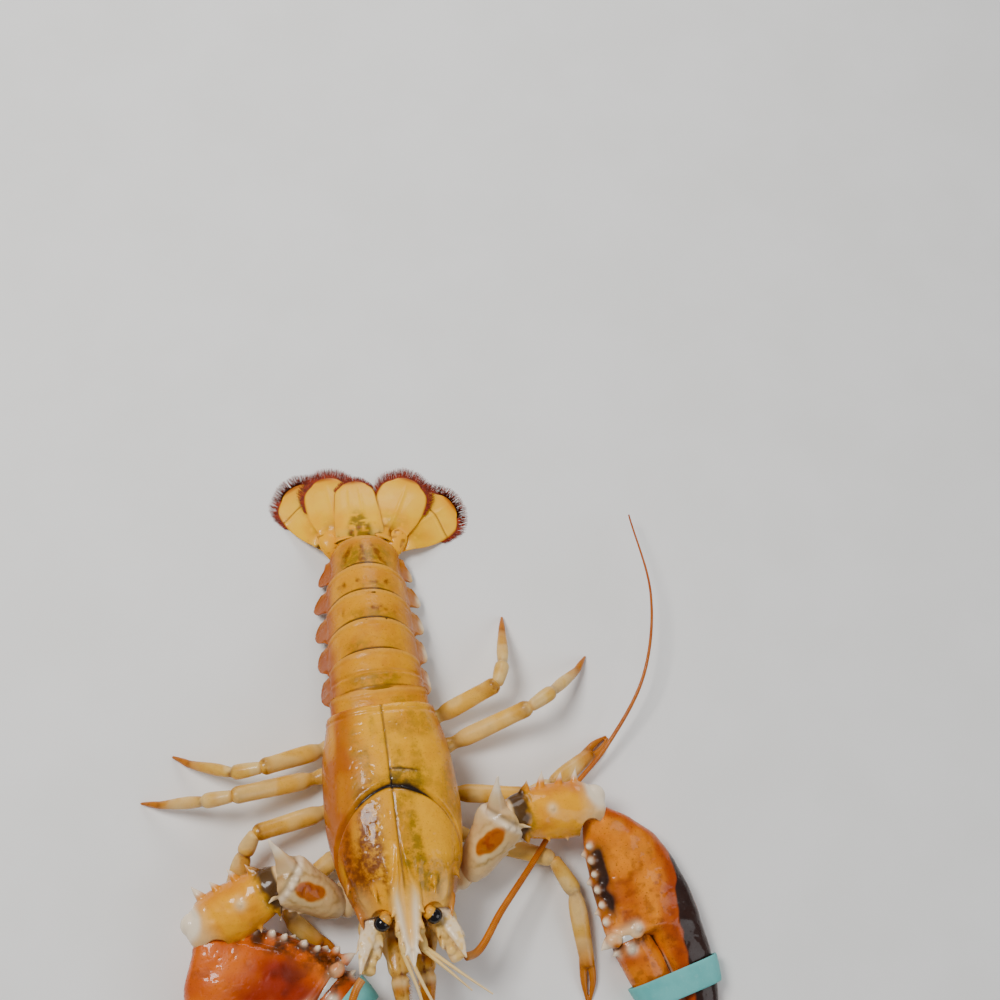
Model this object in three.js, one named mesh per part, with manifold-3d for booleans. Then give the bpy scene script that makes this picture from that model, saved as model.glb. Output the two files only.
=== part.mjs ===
// A life-size American lobster, standing still on a level floor with both claws banded shut.
//
// Millimetres, +Z up, floor at z = 0. The head looks along -Y and the animal's left side is +X.
// The thorax is pitched nose up, the abdomen steps down behind it, and the tail fan lies on the floor.
// The right claw is the broad crusher, folded in front of the head. The left is the slimmer cutter.
import * as THREE from "three";
import Module from "manifold-3d";

const wasm = await Module();
wasm.setup();
const { Manifold, Mesh: SolidMesh } = wasm;

// Driving dimensions
const carapaceLength = 95; // eye socket to rear edge
const carapaceWidth = 66;
const rostrumReach = 28; // ahead of the eye sockets
const rearHeight = 47; // floor to the top of the carapace's rear edge
const noseUp = 6; // degrees
const gap = 0.3; // between neighbouring pieces
const headEnd = carapaceLength + 3; // front margin of the carapace
const grooveAt = carapaceLength * 0.43; // cervical groove on the mid line, ahead of the rear edge

// Points and directions
const point = (x, y, z) => new THREE.Vector3(x, y, z);
const radians = THREE.MathUtils.degToRad;
const along = (from, to, t) => from.clone().lerp(to, t);
const offset = (from, direction, length) => from.clone().addScaledVector(direction, length);

const nose = point(0, -Math.cos(radians(noseUp)), Math.sin(radians(noseUp)));
const back = point(0, Math.sin(radians(noseUp)), Math.cos(radians(noseUp)));
const leftward = point(1, 0, 0);

// A point of the thorax: ahead of the rear edge, to the left of the mid line, above the rear edge's top.
const onThorax = (ahead, x, rise) =>
  point(x, 0, rearHeight).addScaledVector(nose, ahead).addScaledVector(back, rise);

// Reads a table whose rows start with a key, with smooth steps between the rows.
function profile(table, key) {
  const last = table.length - 1;
  if (key <= table[0][0]) return table[0].slice(1);
  if (key >= table[last][0]) return table[last].slice(1);
  const i = table.findIndex((row) => row[0] > key) - 1;
  const [a, b, c, d] = [table[Math.max(i - 1, 0)], table[i], table[i + 1], table[Math.min(i + 2, last)]];
  const t = (key - b[0]) / (c[0] - b[0]);
  const [h0, h1] = [2 * t ** 3 - 3 * t ** 2 + 1, -2 * t ** 3 + 3 * t ** 2];
  const [m0, m1] = [t ** 3 - 2 * t ** 2 + t, t ** 3 - t ** 2];
  return b.slice(1).map((value, k) => {
    const span = c[0] - b[0];
    const slopeB = ((c[k + 1] - a[k + 1]) / (c[0] - a[0] || 1)) * span;
    const slopeC = ((d[k + 1] - value) / (d[0] - b[0] || 1)) * span;
    return h0 * value + h1 * c[k + 1] + m0 * slopeB + m1 * slopeC;
  });
}

// Solids
function solidOf(vertices, triangles) {
  const make = (triVerts) =>
    new Manifold(
      new SolidMesh({ numProp: 3, vertProperties: new Float32Array(vertices), triVerts: new Uint32Array(triVerts) }),
    );
  const made = make(triangles.flat());
  return made.volume() > 0 ? made : make(triangles.map(([a, b, c]) => [a, c, b]).flat());
}

// The triangles of a closed ring, as indices into it that run the same way as the ring.
function capOf(ring) {
  const normal = point(0, 0, 0);
  ring.forEach((p, i) => normal.add(p.clone().cross(ring[(i + 1) % ring.length])));
  normal.normalize();
  const across = ring[1].clone().sub(ring[0]).cross(normal).normalize();
  const onward = normal.clone().cross(across);
  const flat = ring.map((p) => new THREE.Vector2(p.dot(across), p.dot(onward)));
  return THREE.ShapeUtils.triangulateShape(flat, []).map((face) => face.slice().sort((a, b) => a - b));
}

// A closed solid through rings of points that all have the same count.
function through(rings) {
  const count = rings[0].length;
  const vertices = rings.flat().flatMap((p) => p.toArray());
  const triangles = [];
  for (let r = 0; r + 1 < rings.length; r++) {
    for (let i = 0; i < count; i++) {
      const [a, b] = [r * count + i, r * count + ((i + 1) % count)];
      triangles.push([a, b, b + count], [a, b + count, a + count]);
    }
  }
  const top = (rings.length - 1) * count;
  capOf(rings[0]).forEach(([a, b, c]) => triangles.push([a, c, b]));
  capOf(rings[rings.length - 1]).forEach(([a, b, c]) => triangles.push([top + a, top + b, top + c]));
  return solidOf(vertices, triangles);
}

// The outline of a rounded section. A power under 1 makes it squarer than an ellipse.
function roundedRing(centre, wide, thick, halfWide, halfThick, sides, power = 1) {
  const bulge = (v) => Math.sign(v) * Math.abs(v) ** power;
  return Array.from({ length: sides }, (_, i) => {
    const turn = (2 * Math.PI * (i + 0.5)) / sides;
    return offset(offset(centre, wide, halfWide * bulge(Math.cos(turn))), thick, halfThick * bulge(Math.sin(turn)));
  });
}

// A limb whose stations are [point, half width, half thickness], its thickness lying near the given normal.
// Grown by some length, it reaches that much further on every side.
function limb(stations, normal, { sides = 8, power = 1, grow = 0, trim = 0 } = {}) {
  const last = stations.length - 1;
  const rings = stations.map(([centre, halfWide, halfThick], i) => {
    const tangent = stations[Math.min(i + 1, last)][0].clone().sub(stations[Math.max(i - 1, 0)][0]).normalize();
    const wide = tangent.clone().cross(normal).normalize();
    const thick = wide.clone().cross(tangent).normalize();
    const push = (i === 0 ? -1 : i === last ? 1 : 0) * (grow - (i === last ? trim : 0));
    return roundedRing(offset(centre, tangent, push), wide, thick, halfWide + grow, halfThick + grow, sides, power);
  });
  return through(rings);
}

// A tapering limb along a smooth curve, round in section.
function taper(points, thickRadius, thinRadius, steps, sides = 6) {
  const curve = new THREE.CatmullRomCurve3(points, false, "centripetal");
  const stations = Array.from({ length: steps + 1 }, (_, i) => {
    const radius = THREE.MathUtils.lerp(thickRadius, thinRadius, i / steps);
    return [curve.getPointAt(i / steps), radius, radius];
  });
  return limb(stations, point(0.02, 0.03, 1).normalize(), { sides });
}

// A sharp spine from a point below the surface to its tip.
function spine(root, tip, radius, sides = 5) {
  const direction = tip.clone().sub(root);
  const normal = Math.abs(direction.z) > 0.9 * direction.length() ? leftward : point(0, 0, 1);
  const stations = [
    [root, radius, radius],
    [along(root, tip, 0.55), radius * 0.62, radius * 0.62],
    [tip, radius * 0.12, radius * 0.12],
  ];
  return limb(stations, normal, { sides });
}

// A blunt, rounded tubercle.
function tubercle(root, direction, radius, height) {
  const normal = Math.abs(direction.z) > 0.9 ? leftward : point(0, 0, 1);
  const stations = [
    [offset(root, direction, -radius), radius, radius],
    [offset(root, direction, height * 0.55), radius * 0.9, radius * 0.9],
    [offset(root, direction, height), radius * 0.4, radius * 0.4],
  ];
  return limb(stations, normal, { sides: 6 });
}

function ball(centre, radii, grow = 0, segments = 8) {
  const shape = new THREE.SphereGeometry(1, segments, segments - 2).toNonIndexed();
  const keys = new Map();
  const vertices = [];
  const positions = shape.getAttribute("position");
  const index = Array.from({ length: positions.count }, (_, i) => {
    const p = point(0, 0, 0).fromBufferAttribute(positions, i);
    const key = p.toArray().map((v) => Math.round(v * 1e4)).join();
    if (!keys.has(key)) {
      keys.set(key, keys.size);
      vertices.push(...[0, 1, 2].map((k) => centre.getComponent(k) + p.getComponent(k) * (radii[k] + grow)));
    }
    return keys.get(key);
  });
  const triangles = [];
  for (let i = 0; i < index.length; i += 3) {
    const face = index.slice(i, i + 3);
    if (new Set(face).size === 3) triangles.push(face);
  }
  return solidOf(vertices, triangles);
}

const joined = (pieces) => Manifold.union(pieces);
const cutBy = (body, tools) => tools.reduce((left, tool) => left.subtract(tool), body);
const aboveFloor = (body) => body.trimByPlane([0, 0, 1], 0);
const largest = (body) => body.decompose().reduce((a, b) => (a.volume() > b.volume() ? a : b));

// Materials
const shades = {
  shell: [0xdf9a3a, 0.32],
  tail: [0xe0a040, 0.34],
  fan: [0xf6c466, 0.4],
  pale: [0xe6cfa6, 0.45],
  claw: [0xd2701e, 0.3],
  feeler: [0xd98034, 0.4],
  eye: [0x0d0a0c, 0.12],
  band: [0x6fc2bd, 0.55],
};

const group = new THREE.Group();
function add(parent, name, shade, body) {
  const { vertProperties, triVerts } = largest(body).getMesh();
  const geometry = new THREE.BufferGeometry();
  geometry.setAttribute("position", new THREE.BufferAttribute(vertProperties, 3));
  geometry.setIndex(new THREE.BufferAttribute(triVerts, 1));
  geometry.computeVertexNormals();
  const [color, roughness] = shades[shade];
  const mesh = new THREE.Mesh(geometry, new THREE.MeshStandardMaterial({ color, roughness, metalness: 0 }));
  mesh.name = name;
  parent.add(mesh);
}

function part(name) {
  const made = new THREE.Group();
  made.name = name;
  group.add(made);
  return made;
}

const thorax = part("thorax");
const head = part("head");
const abdomen = part("abdomen");
const tailFan = part("tail_fan");
const claws = part("claws");
const legs = part("legs");

const bothSides = [
  ["left", 1],
  ["right", -1],
];

// Carapace
// Its rows are: ahead of the rear edge, half width, top, lower margin.
const halfBreadth = carapaceWidth / 2;
const shellTable = [
  [0, halfBreadth * 0.8, 0, -32],
  [5, halfBreadth * 0.84, 0.9, -33.5],
  [20, halfBreadth * 0.94, 2.9, -35.5],
  [45, halfBreadth, 4.4, -37],
  [62, halfBreadth * 0.97, 3.9, -36.5],
  [78, halfBreadth * 0.87, 1.9, -34],
  [90, halfBreadth * 0.74, -0.9, -30.5],
  [headEnd, halfBreadth * 0.64, -3.2, -28],
];
const archEnd = 126; // degrees from the top to the lower margin
const archPower = 0.84;
const grooveDepth = 1.5;

// A point of the shell's surface, by its place along the body and its angle down from the mid line.
function onShell(ahead, degrees, lift = 0) {
  const [halfWidth, top, margin] = profile(shellTable, ahead);
  const angle = radians(Math.abs(degrees));
  const bulge = (v) => Math.sign(v) * Math.abs(v) ** archPower;
  const drop = (top - margin) / (1 - bulge(Math.cos(radians(archEnd))));
  const x = Math.sign(degrees) * (halfWidth + lift) * Math.abs(Math.sin(angle)) ** archPower;
  return onThorax(ahead, x, top + lift * Math.cos(angle) - drop * (1 - bulge(Math.cos(angle))));
}

// The cervical groove crosses the back and sweeps forward down each side. Rings near it follow its line.
const grooveSweep = (degrees) => 34 * Math.min(Math.abs(degrees) / 90, 1) ** 1.6;
function sweptAhead(station, degrees) {
  const share = station < grooveAt ? station / grooveAt : (headEnd - station) / (headEnd - grooveAt);
  const rake = 9 * Math.max(0, (Math.abs(degrees) - 70) / 56) * (station / headEnd) ** 3;
  return station + share * grooveSweep(degrees) - rake;
}

const shellStations = [0, 4, 14, 26, 36, grooveAt - 1.8, grooveAt, grooveAt + 1.8, 50, 62, 74, 85, 92, headEnd];
const archSteps = 22;
const undersideRises = [
  [0.84, 2.5],
  [0, 8],
  [-0.84, 2.5],
];
const shellRings = shellStations.map((station) => {
  const arch = Array.from({ length: archSteps + 1 }, (_, i) => {
    const degrees = archEnd * ((2 * i) / archSteps - 1);
    const inGroove = station === grooveAt && Math.abs(degrees) < 100;
    return onShell(sweptAhead(station, degrees), degrees, inGroove ? -grooveDepth : 0);
  });
  const inner = undersideRises.map(([share, rise]) => {
    const margin = onShell(sweptAhead(station, archEnd), archEnd);
    return offset(point(margin.x * share, margin.y, margin.z), back, rise);
  });
  return [...arch, ...inner];
});

// Rostrum
// Its rows are: ahead of the rear edge, half width, top, thickness.
const rostrumTable = [
  [68, 2.2, 3.1, 3],
  [80, 4, 2.5, 4],
  [91, 7, 0, 5],
  [99, 6.1, -1.7, 5.2],
  [107, 4.6, -2.6, 4.4],
  [115, 2.8, -3.1, 3],
  [carapaceLength + rostrumReach, 0.5, -3.6, 0.9],
];
const rostrumRing = ([ahead, halfWidth, top, thick]) =>
  [
    [0, -0.8],
    [0.5, 0.5],
    [1, -1],
    [0.55, -thick],
    [-0.55, -thick],
    [-1, -1],
    [-0.5, 0.5],
  ].map(([share, rise]) => onThorax(ahead, share * halfWidth, top + rise * Math.min(1, thick / 3)));
const rostrum = through(rostrumTable.map(rostrumRing));

const toothPlaces = [98, 104.5, 110.5, 116];
const headSpines = bothSides.flatMap(([, side]) => [
  ...toothPlaces.map((ahead) => {
    const [halfWidth, top] = profile(rostrumTable, ahead);
    const root = onThorax(ahead - 2, side * (halfWidth - 1.2), top - 1.2);
    return spine(root, onThorax(ahead + 2.6, side * (halfWidth + 1.5), top + 1), 1.3);
  }),
  spine(onShell(84, side * 30, -1), onThorax(94, side * 13.2, 1.2), 1.7),
  spine(onShell(92, side * 74, -1), onThorax(103.5, side * 20.5, -11), 1.8),
  spine(onShell(80, side * 62, -1), onThorax(88, side * 27, -8), 1.4),
]);

// Eyes
const eyeParts = (side, grow) => [
  limb(
    [
      [onThorax(95, side * 7.6, -8.6), 2.7 + grow, 2.7 + grow],
      [onThorax(100, side * 10.6, -7), 3 + grow, 3 + grow],
    ],
    back,
    { sides: 8 },
  ),
  ball(onThorax(101.4, side * 12, -6), [3.7, 3.5, 3.8], grow, 10),
];
const socket = (side) => ball(onThorax(101, side * 12.5, -5), [6.4, 6.4, 6.2], 0, 10);

// Antennae: a stout three-part peduncle with a pointed scale beside it, then the long flagellum
const peduncle = (side, grow = 0) => {
  const joints = [
    [94, 14.5, -18, 6.6],
    [104, 16.6, -18, 6.8],
    [107, 17.3, -18, 4.9],
    [113, 18.6, -18.2, 5],
    [114.5, 19.2, -18.2, 3.7],
    [120, 21.2, -18, 3.8],
  ];
  return limb(
    joints.map(([ahead, x, rise, radius]) => [onThorax(ahead, side * x, rise), radius, radius * 0.9]),
    back,
    { sides: 8, grow },
  );
};
const scale = (side) =>
  joined([
    limb(
      [
        [onThorax(102.5, side * 16.5, -13.4), 4, 1.6],
        [onThorax(108, side * 20, -11.6), 4.4, 1.2],
        [onThorax(115, side * 22.6, -10.6), 2.4, 0.9],
        [onThorax(123, side * 24.6, -10.4), 0.35, 0.3],
      ],
      back,
      { sides: 6 },
    ),
    spine(onThorax(103, side * 20, -14), onThorax(112.5, side * 25.6, -12.6), 2),
  ]);

// The left flagellum sweeps back under the raised arm and out. The right one reaches forward and aside.
const feelerBase = { left: onThorax(120.2, 21.2, -18), right: onThorax(120.2, -21.2, -18) };
const feelerPath = {
  left: [
    feelerBase.left,
    point(31, -120, 34),
    point(46, -103, 27),
    point(66, -82, 20.2),
    point(80, -66, 13),
    point(92, -50, 8.5),
    point(114, -30, 11),
    point(138, 2, 19),
    point(150, 44, 20),
    point(148, 92, 14),
  ],
  right: [
    feelerBase.right,
    point(-27, -128, 43),
    point(-36, -148, 48),
    point(-54, -172, 47),
    point(-82, -192, 42),
    point(-116, -202, 34),
    point(-148, -200, 26),
    point(-176, -188, 20),
  ],
};
const feelerThick = 2.1;
const feelerThin = 0.45;

// Antennules: a slim peduncle below the rostrum and two fine flagella each
const antennule = (side) => {
  const root = onThorax(100.6, side * 4.2, -13.5);
  const end = onThorax(115, side * 4.6 + 1.5, -12.5);
  const aim = side > 0 ? point(30, -138, 45) : point(9, -152, 40);
  const flagella = [-1.5, 1.5].map((spread) => {
    const start = offset(along(root, end, 0.96), leftward, spread * 0.65);
    const middle = offset(along(end, aim, 0.5), leftward, spread * 1.2).add(point(0, 0, 1.6));
    const tip = offset(aim, leftward, spread * 3).add(point(0, -spread, spread));
    return taper([start, middle, tip], 1.1, 0.35, 6, 5);
  });
  const stalk = limb(
    [
      [root, 2.5, 2.5],
      [along(root, end, 0.45), 2.7, 2.7],
      [along(root, end, 0.5), 2, 2],
      [along(root, end, 0.75), 2.2, 2.2],
      [end, 1.7, 1.7],
    ],
    back,
    { sides: 7 },
  );
  return joined([stalk, ...flagella]);
};

// Third maxillipeds: stout, jointed feelers folded forward below the mouth
const maxilliped = (side, grow = 0) =>
  limb(
    [
      [onThorax(74, side * 6.6, -35), 3.8, 3.2],
      [onThorax(86, side * 7, -34), 4.6, 3.6],
      [onThorax(100, side * 7.4, -31), 4.8, 3.8],
      [onThorax(101.5, side * 7.4, -30.8), 3.4, 3],
      [onThorax(114, side * 8.4, -28.5), 4.4, 3.7],
      [onThorax(122, side * 9.2, -28.5), 4, 3.5],
      [onThorax(130, side * 9, -31), 3.2, 3],
      [onThorax(138, side * 7.6, -35.5), 2.4, 2.2],
      [onThorax(143, side * 6, -40), 0.9, 0.9],
    ],
    back,
    { sides: 8, grow },
  );

// The mouth frame below the head, with the two mandibles
const mouthparts = joined([
  through(
    [
      [78.4, 14.6, -29, -33],
      [88, 13.5, -25, -31],
      [97.6, 12, -24.5, -28.6],
    ].map(([ahead, x, top, bottom]) => [
      onThorax(ahead, -x, top),
      onThorax(ahead, x, top),
      onThorax(ahead, x * 0.7, bottom),
      onThorax(ahead, -x * 0.7, bottom),
    ]),
  ),
  ...bothSides.map(([, side]) => ball(onThorax(93, side * 3.1, -29), [3.3, 5, 4], 0, 8)),
]);

// Abdomen
// Each segment steps down further. Its rows are: length, slope in degrees, half width, height.
const segments = [
  [8, 6, 25, 24],
  [18.5, 10, 28, 30],
  [17.5, 13, 28.2, 30],
  [17, 16, 28.2, 29],
  [16.5, 19, 28, 27.5],
  [19, 22, 25.6, 24.5],
];
const yawStep = -0.7; // degrees at each joint: the tail bends a little to the animal's left
const archHeight = 0.62; // share of the height above the pleura
const bellyLevel = 0.7; // share of the height down to the belly

// A frame that runs back along the dorsal line.
function frameAt(origin, slope, yaw) {
  const run = point(
    -Math.sin(radians(yaw)) * Math.cos(radians(slope)),
    Math.cos(radians(yaw)) * Math.cos(radians(slope)),
    -Math.sin(radians(slope)),
  );
  const side = point(Math.cos(radians(yaw)), Math.sin(radians(yaw)), 0);
  return { origin, run, side, rise: side.clone().cross(run) };
}
const inFrame = (frame, onward, x, rise) =>
  offset(offset(offset(frame.origin, frame.run, onward), frame.side, x), frame.rise, rise);

const tergiteRing = (frame, onward, halfWidth, height, pleuraDepth, tuck) => {
  const arch = [0, 0.18, 0.36, 0.54, 0.72, 0.88, 1].map((share) => {
    const angle = (share * Math.PI) / 2;
    return [(halfWidth - tuck) * Math.sin(angle) ** 0.88, -tuck - archHeight * height * (1 - Math.cos(angle) ** 0.9)];
  });
  const half = [
    ...arch,
    [halfWidth - tuck - 0.4, -pleuraDepth * height],
    [halfWidth - tuck - 2.2, -pleuraDepth * height + 0.4],
    [halfWidth - tuck - 5, -height * (bellyLevel - 0.02)],
    [halfWidth * 0.4, -height * bellyLevel - 0.6],
  ];
  const mirrored = half.slice(1).reverse().map(([x, rise]) => [-x, rise]);
  return [...half, ...mirrored].map(([x, rise]) => inFrame(frame, onward, x, rise));
};

function swimmeret(frame, side, halfWidth, height, length) {
  const place = (onward, spread, down) =>
    inFrame(frame, length * onward, side * halfWidth * spread, -height * bellyLevel - down);
  return [
    limb([[place(0.25, 0.5, -1.5), 2.4, 1.6], [place(0.36, 0.5, 3), 2, 1.4]], frame.run, { sides: 5 }),
    limb(
      [
        [place(0.3, 0.5, 2.2), 2.6, 1.1],
        [place(0.6, 0.5, 4.6), 4.2, 0.9],
        [place(0.94, 0.48, 5.4), 2, 0.5],
      ],
      frame.rise,
      { sides: 6 },
    ),
  ];
}

const pleuraTable = [
  [0, 0.7],
  [0.3, 0.84],
  [0.66, 1],
  [0.86, 0.86],
  [1, 0.68],
];
const overlapTuck = 1.3; // how far a segment's front edge lies under the one before
let frame = frameAt(point(0, gap, rearHeight - overlapTuck * 0.4), segments[0][1], 0);
let facing = nose.clone().negate(); // each segment starts at the plane where the one before ends
segments.forEach(([length, slope, halfWidth, height], i) => {
  frame = frameAt(frame.origin, slope, yawStep * i);
  const short = i === 0;
  const rings = [0, 0.14, 0.4, 0.66, 0.86, 1].map((share) => {
    const [depth] = profile(pleuraTable, share);
    const tuck = share === 0 ? overlapTuck : 0;
    const drop = short ? 0.72 : i === 5 ? Math.min(depth, 0.92) : depth;
    return tergiteRing(frame, share * (length - gap), halfWidth, height, drop, tuck);
  });
  const pieces = [through(rings)];
  if (i > 0 && i < 5)
    bothSides.forEach(([, side]) => pieces.push(...swimmeret(frame, side, halfWidth, height, length)));
  const body = joined(pieces).trimByPlane(facing.toArray(), facing.dot(frame.origin));
  add(abdomen, `abdomen_${i + 1}`, "tail", aboveFloor(body));
  frame = frameAt(inFrame(frame, length, 0, 0), slope, yawStep * i);
  facing = frame.run;
});

// Tail fan
// Blades spread from the last segment, lie over one another in tiers and curve down to rest on the floor.
const tail = frameAt(frame.origin, 0, yawStep * 6);
const fanReach = 39; // from its root to where it meets the floor
const fanDrop = (onward, x) => {
  const away = 1 - Math.min(Math.hypot(onward, Math.max(Math.abs(x) - 13, 0)) / fanReach, 1.15);
  return (tail.origin.z - 3.9) * (1 - Math.sign(away) * Math.abs(away) ** 1.7);
};
const onFan = (onward, x, rise) => inFrame(tail, onward, x, rise - fanDrop(onward, x));

// A blade's rows are: share of its length, share of its half width, half thickness.
const bladeTable = [
  [0, 0.5, 1.5],
  [0.12, 0.66, 1.3],
  [0.35, 0.88, 1],
  [0.6, 1, 0.8],
  [0.8, 0.95, 0.65],
  [0.93, 0.7, 0.5],
  [1, 0.36, 0.35],
];
function blade(rootOnward, rootX, heading, length, halfWidth, tier, table = bladeTable) {
  const run = point(Math.sin(radians(heading)), Math.cos(radians(heading)), 0);
  const rings = table.map(([share, widthShare, halfThick]) => {
    const place = (across, rise) => {
      const onward = rootOnward + run.y * share * length - run.x * across;
      const x = rootX + run.x * share * length + run.y * across;
      return onFan(onward, x, rise - tier);
    };
    const half = widthShare * halfWidth;
    return [
      place(half, 0),
      place(half * 0.6, halfThick * 0.8),
      place(0, halfThick),
      place(-half * 0.6, halfThick * 0.8),
      place(-half, 0),
      place(-half * 0.6, -halfThick * 0.6),
      place(0, -halfThick * 0.6),
      place(half * 0.6, -halfThick * 0.6),
    ];
  });
  return through(rings);
}

const telsonTable = [
  [0, 0.9, 2.4],
  [0.1, 1, 2.2],
  [0.4, 0.97, 1.6],
  [0.75, 0.9, 1.1],
  [0.92, 0.8, 0.8],
  [1, 0.55, 0.5],
];
add(tailFan, "telson", "fan", aboveFloor(blade(0.7, -1, -3, 37, 12.6, -3.1, telsonTable)));
const spread = { left: { inner: 23, outer: 56 }, right: { inner: 12, outer: 30 } };
bothSides.forEach(([name, side]) => {
  const inner = blade(1.6, side * 12.5, side * spread[name].inner, 40, 13, 0.4);
  const outer = blade(2.4, side * 15.5, side * spread[name].outer, 41, 14.6, 3.9);
  const heading = radians(side * spread[name].outer);
  const hinge = onFan(1.2 + 27 * Math.cos(heading), side * 15.5 + 27 * Math.sin(heading), -3.5);
  const acrossHinge = point(Math.cos(heading), -Math.sin(heading), 0);
  const ridge = limb(
    [
      [offset(hinge, acrossHinge, side * -2), 0.5, 0.4],
      [offset(hinge, acrossHinge, side * 5), 1, 0.75],
      [offset(hinge, acrossHinge, side * 11), 0.5, 0.4],
    ],
    point(0, 0, 1),
    { sides: 6 },
  );
  add(tailFan, `uropod_inner_${name}`, "fan", aboveFloor(inner));
  add(tailFan, `uropod_outer_${name}`, "fan", aboveFloor(joined([outer, ridge])));
});

// Claws
// Every arm is worked out from its joints. The first joint is at the thorax, the last where the hand starts.
const arms = {
  left: {
    joints: [point(15, -71, 12.5), point(33, -84, 20), point(53, -60, 34), point(100, -60, 21)],
    heading: point(0.215, -0.977, 0),
    tilt: -4,
    length: 134,
    thickness: 0.82,
  },
  right: {
    joints: [point(-15, -71, 12.5), point(-30, -90, 20), point(-54, -74, 34), point(-97, -92, 22)],
    heading: point(0.682, -0.731, 0),
    tilt: 4,
    length: 140,
    thickness: 1,
  },
};

// Hand rows: share of the length, inner edge, outer edge, half thickness. The fixed finger is on the outer side.
const crusherHand = [
  [0, 8, -9, 8.5],
  [0.05, 13, -23, 11],
  [0.12, 19.5, -33.5, 13.4],
  [0.2, 25, -38.5, 14.8],
  [0.3, 30, -39.6, 15],
  [0.41, 33, -38, 14.6],
  [0.42, 0, -38, 14.4],
  [0.56, -2.6, -35, 12.2],
  [0.7, -4.5, -29.5, 10.2],
  [0.84, -6.5, -22, 7.8],
  [0.95, -6, -13.5, 4.6],
  [1, -2.2, -4.6, 1.6],
];
const crusherFinger = [
  [0.427, 31.4, 3, 12.6],
  [0.5, 31, 1.6, 12.2],
  [0.6, 28, -0.2, 11],
  [0.72, 22.6, -2, 9.4],
  [0.84, 14.6, -4, 7],
  [0.93, 6.6, -3.6, 4.4],
  [0.975, 1.8, -1.4, 1.8],
];
const cutterHand = [
  [0, 7, -7, 9],
  [0.05, 9.5, -15.5, 11],
  [0.14, 12, -25.5, 12.6],
  [0.25, 14.5, -30.5, 13.8],
  [0.36, 16, -32.4, 13.6],
  [0.44, 16.4, -32.4, 13],
  [0.45, -7, -32.4, 12.8],
  [0.6, -9, -31, 10.6],
  [0.75, -10, -27, 8.6],
  [0.88, -10.6, -20.5, 6.2],
  [0.96, -9.4, -14.6, 3.8],
  [1, -6.4, -8.6, 1.4],
];
const cutterFinger = [
  [0.457, 15.8, -4.2, 10.8],
  [0.54, 14.8, -5.6, 10],
  [0.66, 11.6, -6.8, 8.8],
  [0.78, 6.8, -7.6, 7],
  [0.88, 1, -7.8, 5],
  [0.95, -4, -7.2, 3],
  [0.985, -5.6, -6.9, 1.2],
];

// How far a hand's underside is off the floor: share of the length, height
const clearance = [
  [0, 13],
  [0.1, 6.5],
  [0.22, 2],
  [0.36, 0.7],
  [0.6, 0.9],
  [0.85, 0.5],
  [1, 1.2],
];

function handFrame(name) {
  const { joints, heading, tilt, length, thickness } = arms[name];
  const side = name === "left" ? 1 : -1;
  const table = name === "left" ? cutterHand : crusherHand;
  const fingerTable = name === "left" ? cutterFinger : crusherFinger;
  const run = heading.clone().normalize();
  const level = run.clone().cross(point(0, 0, side));
  const inner = level.applyAxisAngle(run, radians(tilt));
  const rise = inner.clone().cross(run).multiplyScalar(side);
  if (rise.z < 0) rise.negate();
  const start = offset(joints[3], run, 4).setZ(0);
  const axisHeight = (share) => profile(table, share)[2] * thickness + profile(clearance, share)[0];
  const at = (share, across, lift) =>
    offset(offset(offset(start, run, share * length), inner, across), rise, lift).add(
      point(0, 0, axisHeight(Math.min(Math.max(share, 0), 1))),
    );
  return { at, run, inner, rise, length, thickness, table, fingerTable };
}

const handSection = (hand, [share, innerEdge, outerEdge, halfThick], sides, grow = 0) =>
  roundedRing(
    hand.at(share, (innerEdge + outerEdge) / 2, 0),
    hand.inner,
    hand.rise,
    Math.abs(innerEdge - outerEdge) / 2 + grow,
    halfThick * hand.thickness + grow,
    sides,
    0.88,
  );

const handSolid = (hand, table, sides, grow = 0) =>
  through(
    table.map(([share, ...row], i) => {
      const push = (i === 0 ? -grow : i === table.length - 1 ? grow : 0) / hand.length;
      return handSection(hand, [share + push, ...row], sides, grow);
    }),
  );

// The outline of a loop pulled tight round both fingers, pushed out by some length.
function wrapped(hand, share, push, sides) {
  const centre = hand.at(share, 0, 0);
  const dots = [hand.table, hand.fingerTable]
    .flatMap((table) => handSection(hand, [share, ...profile(table, share)], 24))
    .map((p) => p.sub(centre))
    .map((p) => [p.dot(hand.inner), p.dot(hand.rise)])
    .sort((a, b) => a[0] - b[0] || a[1] - b[1]);
  const turnOf = (a, b, c) => (b[0] - a[0]) * (c[1] - a[1]) - (b[1] - a[1]) * (c[0] - a[0]);
  const chain = (list) => {
    const kept = [];
    list.forEach((dot) => {
      while (kept.length > 1 && turnOf(kept[kept.length - 2], kept[kept.length - 1], dot) <= 0) kept.pop();
      kept.push(dot);
    });
    return kept.slice(0, -1);
  };
  const outline = [...chain(dots), ...chain(dots.slice().reverse())];
  const middle = (Math.min(...dots.map((d) => d[0])) + Math.max(...dots.map((d) => d[0]))) / 2;
  return Array.from({ length: sides }, (_, i) => {
    const turn = (2 * Math.PI * (i + 0.5)) / sides;
    const [dx, dy] = [Math.cos(turn) * 1.6, Math.sin(turn)];
    let reach = 0;
    outline.forEach((a, k) => {
      const b = outline[(k + 1) % outline.length];
      const [ex, ey] = [b[0] - a[0], b[1] - a[1]];
      const cross = dx * ey - dy * ex;
      if (Math.abs(cross) < 1e-9) return;
      const t = ((a[0] - middle) * ey - a[1] * ex) / cross;
      const u = ((a[0] - middle) * dy - a[1] * dx) / cross;
      if (t > 0 && u >= 0 && u <= 1) reach = Math.max(reach, t);
    });
    const [x, y] = [middle + dx * reach, dy * reach];
    const away = Math.hypot(x - middle, y) || 1;
    return hand.at(share, x + ((x - middle) / away) * push, y + (y / away) * push);
  });
}

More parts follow.
